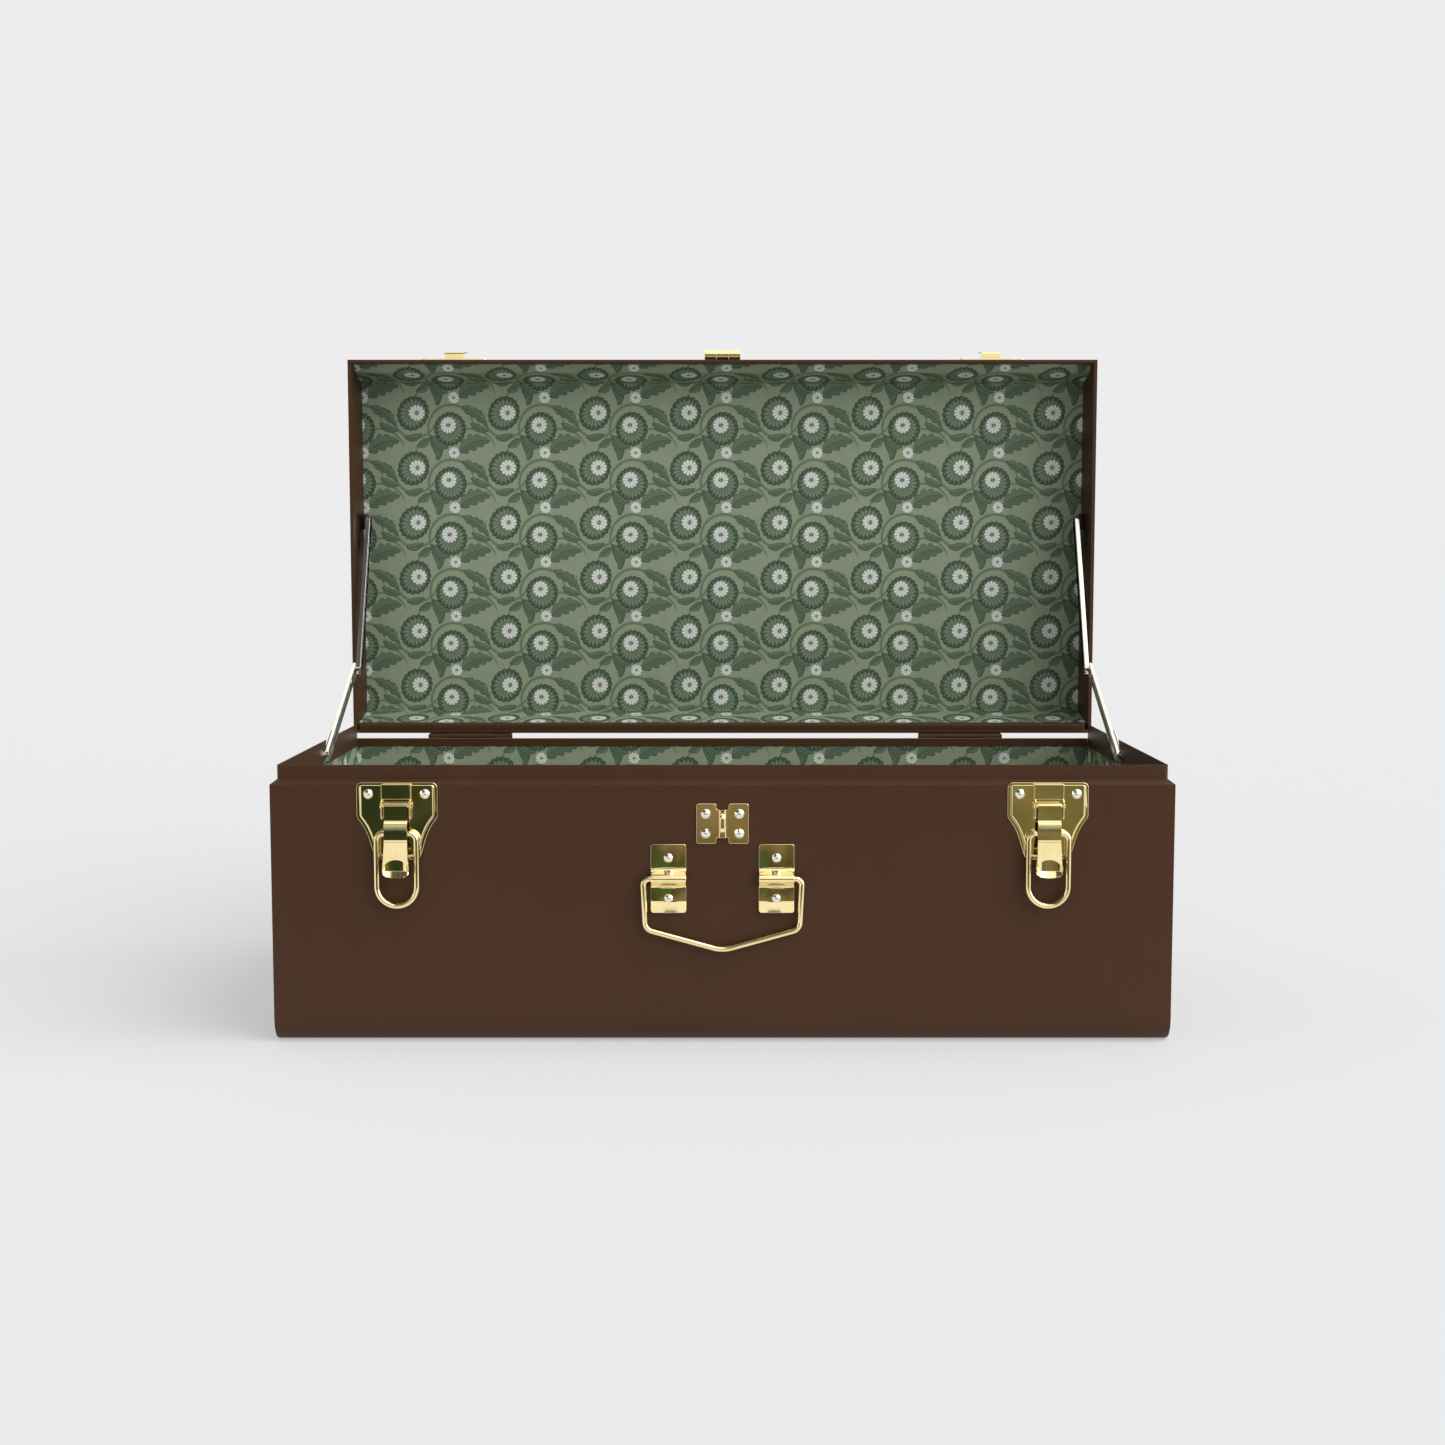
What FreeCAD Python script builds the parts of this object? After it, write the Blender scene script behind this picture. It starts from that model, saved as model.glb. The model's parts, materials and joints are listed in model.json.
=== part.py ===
"""Footlocker: a long steel trunk with a hinged lid, two draw latches, a carrying bail, a hasp and two lid stays.

The shell is a wrapped steel sheet with rounded long edges and flat end panels, over fibre boards with a paper
lining. Millimetres, +Z up, +X to the right, front face towards -Y. The origin is on the floor under the middle
of the trunk. The lid is drawn shut and then turned about its hinges to the angle where the stays stop it.
"""

import math
import os

import FreeCAD
import Part

V = FreeCAD.Vector

# ---------------------------------------------------------------- driving sizes
LENGTH = 760.0  # outside, along X
DEPTH = 380.0  # outside, along Y
WALL_TOP = 220.5  # height of the body's outer wall at the shoulder
REAR_RISE = 1.0  # how far the rear wall stands above the shoulder
SHEET = 0.9  # steel sheet
EDGE_R = 20.0  # outside radius of the long edges
END_ROUND = 0.8  # rounding of an end panel's outer edge
BOARD = 4.0  # fibre board behind the steel
PAPER = 0.5  # lining
NECK_GAP = 0.3  # the neck band stands this far inside the boards
NECK_RISE = 16.1  # top of the neck above the shoulder
NECK_TALL = 22.6  # the neck band's height, down to where the lining starts
NECK_CORNER = 3.0
SHOULDER_RISE = 4.0  # slope from the wall up to the neck
RIM_GAP = 3.5  # underside of the shut lid above the shoulder
LID_HEIGHT = 64.0
HEM = 3.6  # doubled edge round the lid
HEM_TALL = 7.0
LINING_DEPTH = 60.0  # from the lid's rim to its lined top
LID_OPEN = 90.0  # degrees, where the stays stop the lid
FIT = 0.3  # gap between pieces that pass each other
PIN_FIT = 0.08  # radial gap of a pin in its hole
TOUCH = 0.05  # gap of a rivet in its hole

RIVET_R = 4.1  # domed head
RIVET_RISE = 2.2
SHANK_R = 1.9
TAIL_R = 3.2
TAIL_THICK = 0.8
RIVET_GRIP_LID = 3.0  # how deep a blind rivet runs into the lid

HINGE_X = (-259.5, 244.5)
HINGE_LONG = 84.0
HINGE_MIDDLE = 48.0  # the lid's knuckle
HINGE_GAP = 0.25  # between the barrel and the rear wall
HINGE_RISE = -0.95  # barrel centre above the rim plane
HINGE_BARREL_R = 3.0
HINGE_PIN_R = 1.5
HINGE_LEAF = 1.5
HINGE_LEAF_TALL = 28.0

LATCH_X = 273.0
LATCH_PLATE_THICK = 0.9
LATCH_PLATE_RISE = 2.6
LATCH_PLATE_BEVEL = 3.4
LATCH_PLATE_RIM = 1.5  # top of the plate below the shut lid
LATCH_PLATE_TALL = 66.0
LATCH_RIVET_X = 23.7
LATCH_RIVET_DROP = 9.5  # below the plate's top
LEVER_PIVOT_OUT = 6.5
LEVER_PIVOT_DROP = 19.0  # below the plate's top
LEVER_WIDE = 19.4
LEVER_LONG = 62.5  # from its pivot to its lip
LEVER_SHEET = 1.6
LEVER_BARREL_R = 3.0
LEVER_PIN_R = 1.5
LOOP_PIVOT_OUT = 7.5
LOOP_PIVOT_DROP = 23.1  # below the lever's pivot
LOOP_WIRE_R = 2.5
LOOP_WIDE = 33.4  # between the centres of its legs
LOOP_LONG = 61.5  # from its pivot to the centre of its end
LOOP_CORNER = 6.0
LOOP_END_FLAT = 0.2  # half of the straight stretch at its end
CATCH_WIDE = 66.0
CATCH_TALL = 30.0
CATCH_SHEET = 1.2
CATCH_LOW = 3.0  # above the rim plane
CATCH_HOOK_OUT = 8.6
CATCH_HOOK_WIDE = 19.0

HANDLE_CLIP_X = 45.5
HANDLE_CLIP_WIDE = 30.0
HANDLE_CLIP_SHEET = 1.4
HANDLE_CLIP_UP = 28.9  # the clip's reach above the bail's axis
HANDLE_CLIP_DOWN = 29.2
HANDLE_RIVET_UP = 17.2
HANDLE_BELOW_RIM = 82.4  # the bail's axis below the shut lid
HANDLE_OUT = 5.4
HANDLE_WIRE_R = 2.5
HANDLE_WIDE = 134.0  # between the centres of its legs
HANDLE_LEG = 43.0
HANDLE_DROP = 61.0

STAPLE_WIDE = 44.0
STAPLE_BELOW_RIM = 19.2  # top of its plate below the shut lid
STAPLE_TALL = 34.1
STAPLE_SHEET = 1.4
STAPLE_WAIST = 25.0
STAPLE_EAR_OUT = 15.0
STAPLE_EAR_DROP = 24.3  # lower end of the ear below the plate's top
STAPLE_EAR_TALL = 18.0
STAPLE_EAR_HALF = 2.4
PADLOCK_R = 3.2
PADLOCK_OUT = 8.8  # centre of the padlock's hole
HASP_WIDE = 36.0
HASP_BARREL_R = 4.8
HASP_OUT = 5.2  # barrel centre off the lid's wall
HASP_BOW = 0.6  # how far the folded strap stands outside the barrel's centre
HASP_PIN_R = 1.5
HASP_SHEET = 1.5
HASP_RISE = 5.0  # barrel centre above the rim plane
HASP_LONG = 58.0
HASP_LEAF_TALL = 26.0

STAY_PLATE = 1.2
STAY_SHEET = 1.0
STAY_LOWER_WIDE = 11.0
STAY_UPPER_WIDE = 13.0
STAY_LOWER_DEEP = 3.4
STAY_UPPER_DEEP = 4.4
STAY_PIN_R = 2.0
STAY_FOOT_BACK = (-181.45, 0.45)  # from the hinge to the pivot on the body, along Y and Z
STAY_KNEE_BACK = (-35.15, 72.75)
STAY_HEAD_BACK = (33.25, 219.85)  # and to the pivot on the open lid

# ---------------------------------------------------------------- worked out
HALF = LENGTH / 2
FRONT = -DEPTH / 2
REAR = DEPTH / 2
RIM = WALL_TOP + RIM_GAP
REAR_TOP = WALL_TOP + REAR_RISE
NECK_TOP = WALL_TOP + NECK_RISE
NECK_LOW = NECK_TOP - NECK_TALL
LID_TOP = RIM + LID_HEIGHT
HINGE_Y = REAR + HINGE_BARREL_R + HINGE_GAP
HINGE_Z = RIM + HINGE_RISE
LINED = SHEET + BOARD  # from the outside to the back of the paper
NECK_INSET = LINED + NECK_GAP
NECK_IN = NECK_INSET + SHEET
HEM_TOP = RIM + HEM_TALL
LID_LINED_LOW = NECK_TOP + 1.9
LID_LINED_TOP = RIM + LINING_DEPTH
LATCH_PLATE_TOP = RIM - LATCH_PLATE_RIM
LATCH_PLATE_LOW = LATCH_PLATE_TOP - LATCH_PLATE_TALL
LATCH_RIVET_Z = LATCH_PLATE_TOP - LATCH_RIVET_DROP
LEVER_PIVOT_Z = LATCH_PLATE_TOP - LEVER_PIVOT_DROP
LOOP_PIVOT_Z = LEVER_PIVOT_Z - LOOP_PIVOT_DROP
HANDLE_Z = RIM - HANDLE_BELOW_RIM
HANDLE_CLIP_TOP = HANDLE_Z + HANDLE_CLIP_UP
HANDLE_CLIP_LOW = HANDLE_Z - HANDLE_CLIP_DOWN
STAPLE_TOP = RIM - STAPLE_BELOW_RIM
STAPLE_LOW = STAPLE_TOP - STAPLE_TALL
STAPLE_EAR_LOW = STAPLE_TOP - STAPLE_EAR_DROP
STAY_FOOT = (HINGE_Y + STAY_FOOT_BACK[0], HINGE_Z + STAY_FOOT_BACK[1])  # Y and Z
STAY_KNEE = (HINGE_Y + STAY_KNEE_BACK[0], HINGE_Z + STAY_KNEE_BACK[1])
STAY_HEAD = (HINGE_Y + STAY_HEAD_BACK[0], HINGE_Z + STAY_HEAD_BACK[1])
SIDES = (("left", -1), ("right", 1))


# ---------------------------------------------------------------- helpers
def corner_points(before, at, after, radius):
    """Start, middle and end of the arc that rounds a corner."""
    a = (before - at).normalize()
    b = (after - at).normalize()
    half = a.getAngle(b) / 2
    back = radius / math.tan(half)
    start = at + a * back
    end = at + b * back
    centre = at + (a + b).normalize() * (radius / math.sin(half))
    middle = centre + (at - centre).normalize() * radius
    return start, middle, end


def outline(points, radii=None, closed=True):
    """A wire through points, each corner rounded by its own radius."""
    radii = radii or [0.0] * len(points)
    n = len(points)
    arcs = []
    for i, (p, r) in enumerate(zip(points, radii)):
        inner = closed or 0 < i < n - 1
        if r > 0 and inner:
            arcs.append(corner_points(points[i - 1], p, points[(i + 1) % n], r))
        else:
            arcs.append((p, None, p))
    edges = []
    for i in range(n if closed else n - 1):
        start, end = arcs[i][2], arcs[(i + 1) % n][0]
        if (end - start).Length > 1e-6:
            edges.append(Part.LineSegment(start, end).toShape())
        start, middle, end = arcs[(i + 1) % n]
        if middle is not None:
            edges.append(Part.Arc(start, middle, end).toShape())
    return Part.Wire(edges)


def along_x(profile, x0, x1, radii=None):
    """A prism from x0 to x1 whose Y, Z section is a rounded polygon."""
    wire = outline([V(x0, y, z) for y, z in profile], radii)
    return Part.Face(wire).extrude(V(x1 - x0, 0, 0))


def along_y(profile, y0, y1, radii=None):
    """A prism from y0 to y1 whose X, Z section is a rounded polygon."""
    wire = outline([V(x, y0, z) for x, z in profile], radii)
    return Part.Face(wire).extrude(V(0, y1 - y0, 0))


def along_z(profile, z0, z1, radii=None):
    """A prism from z0 to z1 whose X, Y section is a rounded polygon."""
    wire = outline([V(x, y, z0) for x, y in profile], radii)
    return Part.Face(wire).extrude(V(0, 0, z1 - z0))


def block(x0, x1, y0, y1, z0, z1):
    low = V(min(x0, x1), min(y0, y1), min(z0, z1))
    return Part.makeBox(abs(x1 - x0), abs(y1 - y0), abs(z1 - z0), low)


def rod(start, end, radius):
    along = end - start
    return Part.makeCylinder(radius, along.Length, start, along)


def rod_x(x0, x1, y, z, radius):
    return rod(V(x0, y, z), V(x1, y, z), radius)


def join(shapes):
    shapes = list(shapes)
    return shapes[0].multiFuse(shapes[1:]).removeSplitter() if len(shapes) > 1 else shapes[0]


def wire_bar(points, radii, radius, closed=False):
    """A round bar bent along points."""
    path = outline(points, radii, closed)
    first = path.Edges[0]
    start = first.valueAt(first.FirstParameter)
    heading = first.tangentAt(first.FirstParameter)
    section = Part.Wire([Part.makeCircle(radius, start, heading)])
    bar = path.makePipeShell([section], True, False)
    return bar


def frame(inset, z0, z1, radius):
    """A block of the trunk's plan, drawn in by inset."""
    x, y = HALF - inset, DEPTH / 2 - inset
    return along_z([(-x, -y), (x, -y), (x, y), (-x, y)], z0, z1, [radius] * 4)


def opened(shape):
    """A lid piece, drawn shut, turned to the open lid."""
    turned = shape.copy()
    turned.rotate(V(0, HINGE_Y, HINGE_Z), V(1, 0, 0), -LID_OPEN)
    return turned


def rivet(at, inward, grip, tail=True):
    """A domed rivet: at is the centre of the head's underside, and grip what it holds."""
    ball_r = (RIVET_R**2 + RIVET_RISE**2) / (2 * RIVET_RISE)
    centre = ball_r - RIVET_RISE
    half = math.asin(RIVET_R / ball_r) / 2
    crown = V(0, 0, -RIVET_RISE)
    bulge = V(ball_r * math.sin(half), 0, centre - ball_r * math.cos(half))
    brim = V(RIVET_R, 0, 0)
    steps = [brim, V(SHANK_R, 0, 0), V(SHANK_R, 0, grip)]
    end = grip
    if tail:
        end = grip + TAIL_THICK
        steps += [V(TAIL_R, 0, grip), V(TAIL_R, 0, end)]
    steps += [V(0, 0, end), crown]
    edges = [Part.Arc(crown, bulge, brim).toShape()]
    edges += [Part.LineSegment(p, q).toShape() for p, q in zip(steps, steps[1:])]
    body = Part.Face(Part.Wire(edges)).revolve(V(0, 0, 0), V(0, 0, 1), 360)
    body.Placement = FreeCAD.Placement(at, FreeCAD.Rotation(V(0, 0, 1), V(*inward)))
    return body


def drilled(shape, places, axis, radius=SHANK_R + TOUCH, reach=60.0):
    """shape with a hole through it at each place."""
    axis = V(*axis)
    holes = [Part.makeCylinder(radius, 2 * reach, p - axis * reach, axis) for p in places]
    return shape.cut(join(holes)) if holes else shape


# ---------------------------------------------------------------- where the rivets are
def latch_rivets():
    return [
        V(side * LATCH_X + x, FRONT, LATCH_RIVET_Z)
        for _, side in SIDES
        for x in (-LATCH_RIVET_X, LATCH_RIVET_X)
    ]


def handle_rivets():
    ups = (HANDLE_RIVET_UP, -HANDLE_RIVET_UP)
    return [V(side * HANDLE_CLIP_X, FRONT, HANDLE_Z + up) for _, side in SIDES for up in ups]


def staple_rivets():
    across, up = 14.1, 8.3
    middle = (STAPLE_TOP + STAPLE_LOW) / 2
    return [V(x, FRONT, middle + z) for x in (-across, across) for z in (-up, up)]


def hinge_rivets(z):
    across = 28.0
    return [V(x + d, REAR, z) for x in HINGE_X for d in (-across, 0.0, across)]


HINGE_RIVET_BODY_Z = HINGE_Z - 18.0
HINGE_RIVET_LID_Z = HINGE_Z + 18.0
CATCH_RIVET_Z = RIM + CATCH_LOW + CATCH_TALL / 2
HASP_RIVET_Z = RIM + HASP_RISE + 15.0


def catch_rivets():
    across = 25.0
    return [V(side * LATCH_X + x, FRONT, CATCH_RIVET_Z) for _, side in SIDES for x in (-across, across)]


def hasp_rivets():
    across = 11.0
    return [V(x, FRONT, HASP_RIVET_Z) for x in (-across, across)]


# ---------------------------------------------------------------- body shell
def u_profile(inset, front_top, rear_top, thick):
    """A sheet that runs down the front, under the floor and up the rear."""
    outer = DEPTH / 2 - inset
    inner = outer - thick
    points = [(-outer, front_top), (-outer, inset), (outer, inset), (outer, rear_top)]
    points += [(inner, rear_top), (inner, inset + thick), (-inner, inset + thick), (-inner, front_top)]
    bend = EDGE_R - inset
    radii = [0, bend, bend, 0, 0, bend - thick, bend - thick, 0]
    return points, radii


def end_profile(inset, low, top, gap=0.0):
    half = DEPTH / 2 - inset - gap
    bend = EDGE_R - inset - gap
    return [(-half, top), (-half, low), (half, low), (half, top)], [0, bend, bend, 0]


def front_holes():
    return latch_rivets() + handle_rivets() + staple_rivets()


def body_wrap():
    points, radii = u_profile(0.0, WALL_TOP, REAR_TOP, SHEET)
    sheet = along_x(points, -HALF + SHEET, HALF - SHEET, radii)
    sheet = drilled(sheet, front_holes(), (0, 1, 0))
    return drilled(sheet, hinge_rivets(HINGE_RIVET_BODY_Z), (0, 1, 0))


def body_end(side):
    points, radii = end_profile(0.0, 0.0, WALL_TOP)
    plate = along_x(points, side * (HALF - SHEET), side * HALF, radii)
    rim = [e for e in plate.Edges if on_outer_edge(e, side) and e.BoundBox.ZMin < WALL_TOP - 0.1]
    return plate.makeFillet(END_ROUND, rim)


def on_outer_edge(edge, side):
    box = edge.BoundBox
    return abs(box.XMin - side * HALF) < 0.01 and abs(box.XMax - side * HALF) < 0.01


def neck_band():
    """The band that the lid shuts over: front and both sides, with its sloped shoulder."""
    upright = frame(NECK_INSET, NECK_LOW, NECK_TOP, NECK_CORNER)
    upright = upright.cut(frame(NECK_IN, NECK_LOW - 1, NECK_TOP + 1, NECK_CORNER - SHEET))
    low, high = WALL_TOP, WALL_TOP + SHOULDER_RISE
    slope = Part.makeLoft([plan_wire(0.0, low), plan_wire(NECK_INSET, high)], True, True)
    under = Part.makeLoft(
        [plan_wire(SHEET, low), plan_wire(NECK_INSET + SHEET * 0.9, high)], True, True
    )
    slope = slope.cut(under)
    slope = slope.cut(frame(NECK_INSET + TOUCH, low - 1, high + 1, NECK_CORNER))
    arm_end = REAR - NECK_IN - NECK_CORNER
    rear = block(-HALF, HALF, arm_end, REAR + 1, NECK_LOW - 1, NECK_TOP + 1)
    band = join([upright, slope]).cut(rear)
    return drilled(band, latch_rivets(), (0, 1, 0), TAIL_R + FIT)


def plan_wire(inset, z):
    x, y = HALF - inset, DEPTH / 2 - inset
    return outline([V(-x, -y, z), V(x, -y, z), V(x, y, z), V(-x, y, z)], [0.0] * 4)


def rear_rail():
    """The strip that caps the boards along the rear, between the neck's arms."""
    inner = REAR - NECK_IN
    half = HALF - NECK_IN - FIT
    rail = block(-half, half, inner, REAR - LINED, NECK_LOW, REAR_TOP)
    return rail


def board_wrap():
    points, radii = u_profile(SHEET, NECK_LOW + 5.0, REAR_TOP, BOARD)
    board = along_x(points, -HALF + LINED, HALF - LINED, radii)
    board = drilled(board, front_holes(), (0, 1, 0))
    return drilled(board, hinge_rivets(HINGE_RIVET_BODY_Z), (0, 1, 0))


def board_end(side):
    points, radii = end_profile(SHEET, SHEET, NECK_LOW + 5.0)
    return along_x(points, side * (HALF - LINED), side * (HALF - SHEET), radii)


def body_lining():
    """Paper over the boards: a thin open tray."""
    points, radii = end_profile(LINED, LINED, NECK_LOW - TOUCH)
    tray = along_x(points, -HALF + LINED, HALF - LINED, radii)
    inset = LINED + PAPER
    points, radii = end_profile(inset, inset, NECK_LOW + 1)
    tray = tray.cut(along_x(points, -HALF + inset, HALF - inset, radii))
    tray = drilled(tray, front_holes(), (0, 1, 0))
    return drilled(tray, hinge_rivets(HINGE_RIVET_BODY_Z), (0, 1, 0))


# ---------------------------------------------------------------- lid shell, drawn shut
def lid_wrap():
    half, inner, top = DEPTH / 2, DEPTH / 2 - SHEET, LID_TOP
    bend = EDGE_R - SHEET
    lip = half - HEM
    points = [(-half, RIM), (-half, top), (half, top), (half, RIM)]
    points += [(lip, RIM), (lip, HEM_TOP), (inner, HEM_TOP + SHEET), (inner, top - SHEET)]
    points += [(-inner, top - SHEET), (-inner, HEM_TOP + SHEET), (-lip, HEM_TOP), (-lip, RIM)]
    radii = [0.9, EDGE_R, EDGE_R, 0.9, 0.9, 0.5, 0, bend, bend, 0, 0.5, 0.9]
    sheet = along_x(points, -HALF + SHEET, HALF - SHEET, radii)
    sheet = drilled(sheet, catch_rivets() + hasp_rivets(), (0, 1, 0))
    return opened(drilled(sheet, hinge_rivets(HINGE_RIVET_LID_Z), (0, 1, 0)))


def cheek_profile(inset, low, top):
    half = DEPTH / 2 - inset
    bend = EDGE_R - inset
    return [(-half, low), (-half, top), (half, top), (half, low)], [0, bend, bend, 0]


def lid_end(side):
    points, radii = cheek_profile(0.0, RIM, LID_TOP)
    plate = along_x(points, side * (HALF - SHEET), side * HALF, radii)
    rim = [e for e in plate.Edges if on_outer_edge(e, side)]
    plate = plate.makeFillet(END_ROUND, rim)
    lip = block(side * (HALF - SHEET), side * (HALF - HEM), FRONT + HEM, REAR - HEM, RIM, HEM_TOP)
    return opened(join([plate, lip]))


def lid_cheek(side):
    """The painted board inside an end of the lid."""
    points, radii = cheek_profile(SHEET, HEM_TOP + SHEET, LID_TOP - SHEET)
    board = along_x(points, side * (HALF - SHEET), side * (HALF - HEM), radii)
    return opened(board)


def lining_points(back):
    """The lid's lining in section, rear to front; back moves it outwards."""
    return [
        (REAR - 9.7 + back, LID_LINED_LOW),
        (REAR - 17.8 + back, LID_LINED_TOP + back),
        (FRONT + 19.5 - back, LID_LINED_TOP + back),
        (FRONT + 11.0 - back, RIM + 26.0 + back),
        (FRONT + 3.5 - back, LID_LINED_LOW),
    ]


def lid_board():
    """The shaped board under the lid's lining, fitted into the rounded top."""
    inner, top = DEPTH / 2 - SHEET, LID_TOP - SHEET
    bend = EDGE_R - SHEET
    points = [(-inner, LID_LINED_LOW), (-inner, top), (inner, top), (inner, LID_LINED_LOW)]
    points += lining_points(PAPER)
    radii = [0, bend, bend, 0, 0, 0, 0, 0, 0]
    half = HALF - HEM - TOUCH
    board = along_x(points, -half, half, radii)
    holes = catch_rivets() + hasp_rivets() + hinge_rivets(HINGE_RIVET_LID_Z)
    blind = [
        Part.makeCylinder(SHANK_R + TOUCH, RIVET_GRIP_LID + 1.0, p, V(0, -1 if p.y > 0 else 1, 0))
        for p in holes
    ]
    return opened(board.cut(join(blind)))


def lid_lining():
    half = HALF - HEM - TOUCH
    back = lining_points(PAPER)
    face = list(reversed(lining_points(0.0)))
    return opened(along_x(back + face, -half, half))


def lid_rear_rail():
    """The stiffening rail along the lid's hinge side."""
    half = HALF - NECK_IN - 2 * FIT - 0.2
    y0, y1 = REAR - 9.7, REAR - HEM - 0.1
    z0, z1 = RIM + 0.5, LID_LINED_LOW - TOUCH
    rail = along_x([(y0, z0), (y1, z0), (y1, z1), (y0, z1)], -half, half, [2.2, 0.6, 0, 0.8])
    return opened(rail)


# ---------------------------------------------------------------- hinges
def hinge_leaf(x, part):
    """One leaf with its knuckles. The body's leaf has the outer two, the lid's the middle one."""
    half, middle = HINGE_LONG / 2, HINGE_MIDDLE / 2
    clear = HINGE_BARREL_R + FIT
    y0, y1 = REAR, REAR + HINGE_LEAF
    if part == "body":
        spans = [(-half, -middle - FIT / 2), (middle + FIT / 2, half)]
        low, high = HINGE_Z - HINGE_LEAF_TALL, HINGE_Z - clear
        z_join = (high - 0.5, HINGE_Z)
    else:
        spans = [(-middle + FIT / 2, middle - FIT / 2)]
        low, high = HINGE_Z + clear, HINGE_Z + HINGE_LEAF_TALL
        z_join = (HINGE_Z, low + 0.5)
    top_corner, low_corner = (4.0, 0.0) if part == "lid" else (0.0, 4.0)
    plate = along_y(
        [(x - half, low), (x + half, low), (x + half, high), (x - half, high)],
        y0,
        y1,
        [low_corner, low_corner, top_corner, top_corner],
    )
    parts = [plate]
    for x0, x1 in spans:
        parts.append(block(x + x0, x + x1, y0, y1, *z_join))
        parts.append(rod_x(x + x0, x + x1, HINGE_Y, HINGE_Z, HINGE_BARREL_R))
    leaf = join(parts)
    bore = HINGE_PIN_R + (PIN_FIT if part == "lid" else TOUCH)
    leaf = leaf.cut(rod_x(x - half - 1, x + half + 1, HINGE_Y, HINGE_Z, bore))
    z = HINGE_RIVET_BODY_Z if part == "body" else HINGE_RIVET_LID_Z
    leaf = drilled(leaf, hinge_rivets(z), (0, 1, 0))
    return leaf if part == "body" else opened(leaf)


def hinge_pin(x):
    half = HINGE_LONG / 2
    pin = rod_x(x - half, x + half, HINGE_Y, HINGE_Z, HINGE_PIN_R)
    heads = [rod_x(x + s * half, x + s * (half + 1.0), HINGE_Y, HINGE_Z, HINGE_PIN_R + 0.8) for s in (-1, 1)]
    return join([pin, *heads])


def hinge_rivet_group(part):
    z = HINGE_RIVET_BODY_Z if part == "body" else HINGE_RIVET_LID_Z
    made = []
    for p in hinge_rivets(z):
        at = p + V(0, HINGE_LEAF, 0)
        if part == "body":
            made.append(rivet(at, (0, -1, 0), HINGE_LEAF + LINED + PAPER))
        else:
            made.append(opened(rivet(at, (0, -1, 0), HINGE_LEAF + RIVET_GRIP_LID, tail=False)))
    return Part.makeCompound(made)


# ---------------------------------------------------------------- latches
def latch_outline(inset, y, x):
    """The latch plate's shape: square above, waisted below."""
    drops = [(34.0, 0.0), (34.0, 28.5), (26.0, 39.5), (21.0, 58.5), (18.0, LATCH_PLATE_TALL)]
    right = [(px - inset, LATCH_PLATE_TOP - drop) for px, drop in drops]
    right[0] = (right[0][0], LATCH_PLATE_TOP - inset)
    right[-1] = (right[-1][0], LATCH_PLATE_LOW + inset)
    points = right + [(-px, pz) for px, pz in reversed(right)]
    radii = [3.0, 5.0, 12.0, 10.0, 4.0]
    radii = radii + list(reversed(radii))
    return outline([V(x + px, y, pz) for px, pz in points], radii)


def latch_plate(side):
    """A dished plate: its edge slopes back to the trunk."""
    x = side * LATCH_X
    outer = Part.makeLoft(
        [latch_outline(0.0, FRONT, x), latch_outline(LATCH_PLATE_BEVEL, FRONT - LATCH_PLATE_RISE, x)],
        True,
        True,
    )
    hollow = Part.makeLoft(
        [
            latch_outline(LATCH_PLATE_THICK, FRONT + TOUCH, x),
            latch_outline(
                LATCH_PLATE_BEVEL + 0.4, FRONT - LATCH_PLATE_RISE + LATCH_PLATE_THICK, x
            ),
        ],
        True,
        True,
    )
    plate = outer.cut(hollow)
    posts = [
        rod(V(p.x, FRONT, p.z), V(p.x, FRONT - LATCH_PLATE_RISE + 0.5, p.z), SHANK_R + 1.5)
        for p in latch_rivets()
        if p.x * side > 0
    ]
    plate = join([plate, *posts])
    return drilled(plate, latch_rivets(), (0, 1, 0))


def latch_bracket(side):
    """The strap over the plate whose two ears hold the lever's pin."""
    x = side * LATCH_X
    face = FRONT - LATCH_PLATE_RISE
    out = FRONT - LEVER_PIVOT_OUT
    half = LEVER_WIDE / 2 + FIT + 2.4
    ear = 2.4
    top = LATCH_PLATE_TOP - 1.0
    pivot = LEVER_PIVOT_Z
    strap = block(x - half, x + half, out - 0.2, face, pivot + LEVER_BARREL_R + 2.4, top)
    strap = strap.makeFillet(1.2, [e for e in strap.Edges if e.BoundBox.YMax < out])
    parts = [strap]
    for s in (-1, 1):
        profile = [(face, pivot + 7.0), (out - 2.6, pivot + 7.0), (out - 3.2, pivot - 5.0), (face, pivot - 11.5)]
        x0, x1 = x + s * (half - ear), x + s * half
        parts.append(along_x(profile, min(x0, x1), max(x0, x1), [0, 2.0, 2.0, 0]))
    bracket = join(parts)
    hole = rod_x(x - half - 1, x + half + 1, out, LEVER_PIVOT_Z, LEVER_PIN_R + TOUCH)
    room = rod_x(x - half + ear, x + half - ear, out, LEVER_PIVOT_Z, LEVER_BARREL_R + 2 * FIT)
    return bracket.cut(hole).cut(room)


def lever_pin(side):
    x = side * LATCH_X
    half = LEVER_WIDE / 2 + FIT + 2.4
    out = FRONT - LEVER_PIVOT_OUT
    parts = [rod_x(x - half, x + half, out, LEVER_PIVOT_Z, LEVER_PIN_R)]
    for s in (-1, 1):
        parts.append(rod_x(x + s * half, x + s * (half + 0.8), out, LEVER_PIVOT_Z, LEVER_PIN_R + 0.7))
    return join(parts)


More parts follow.
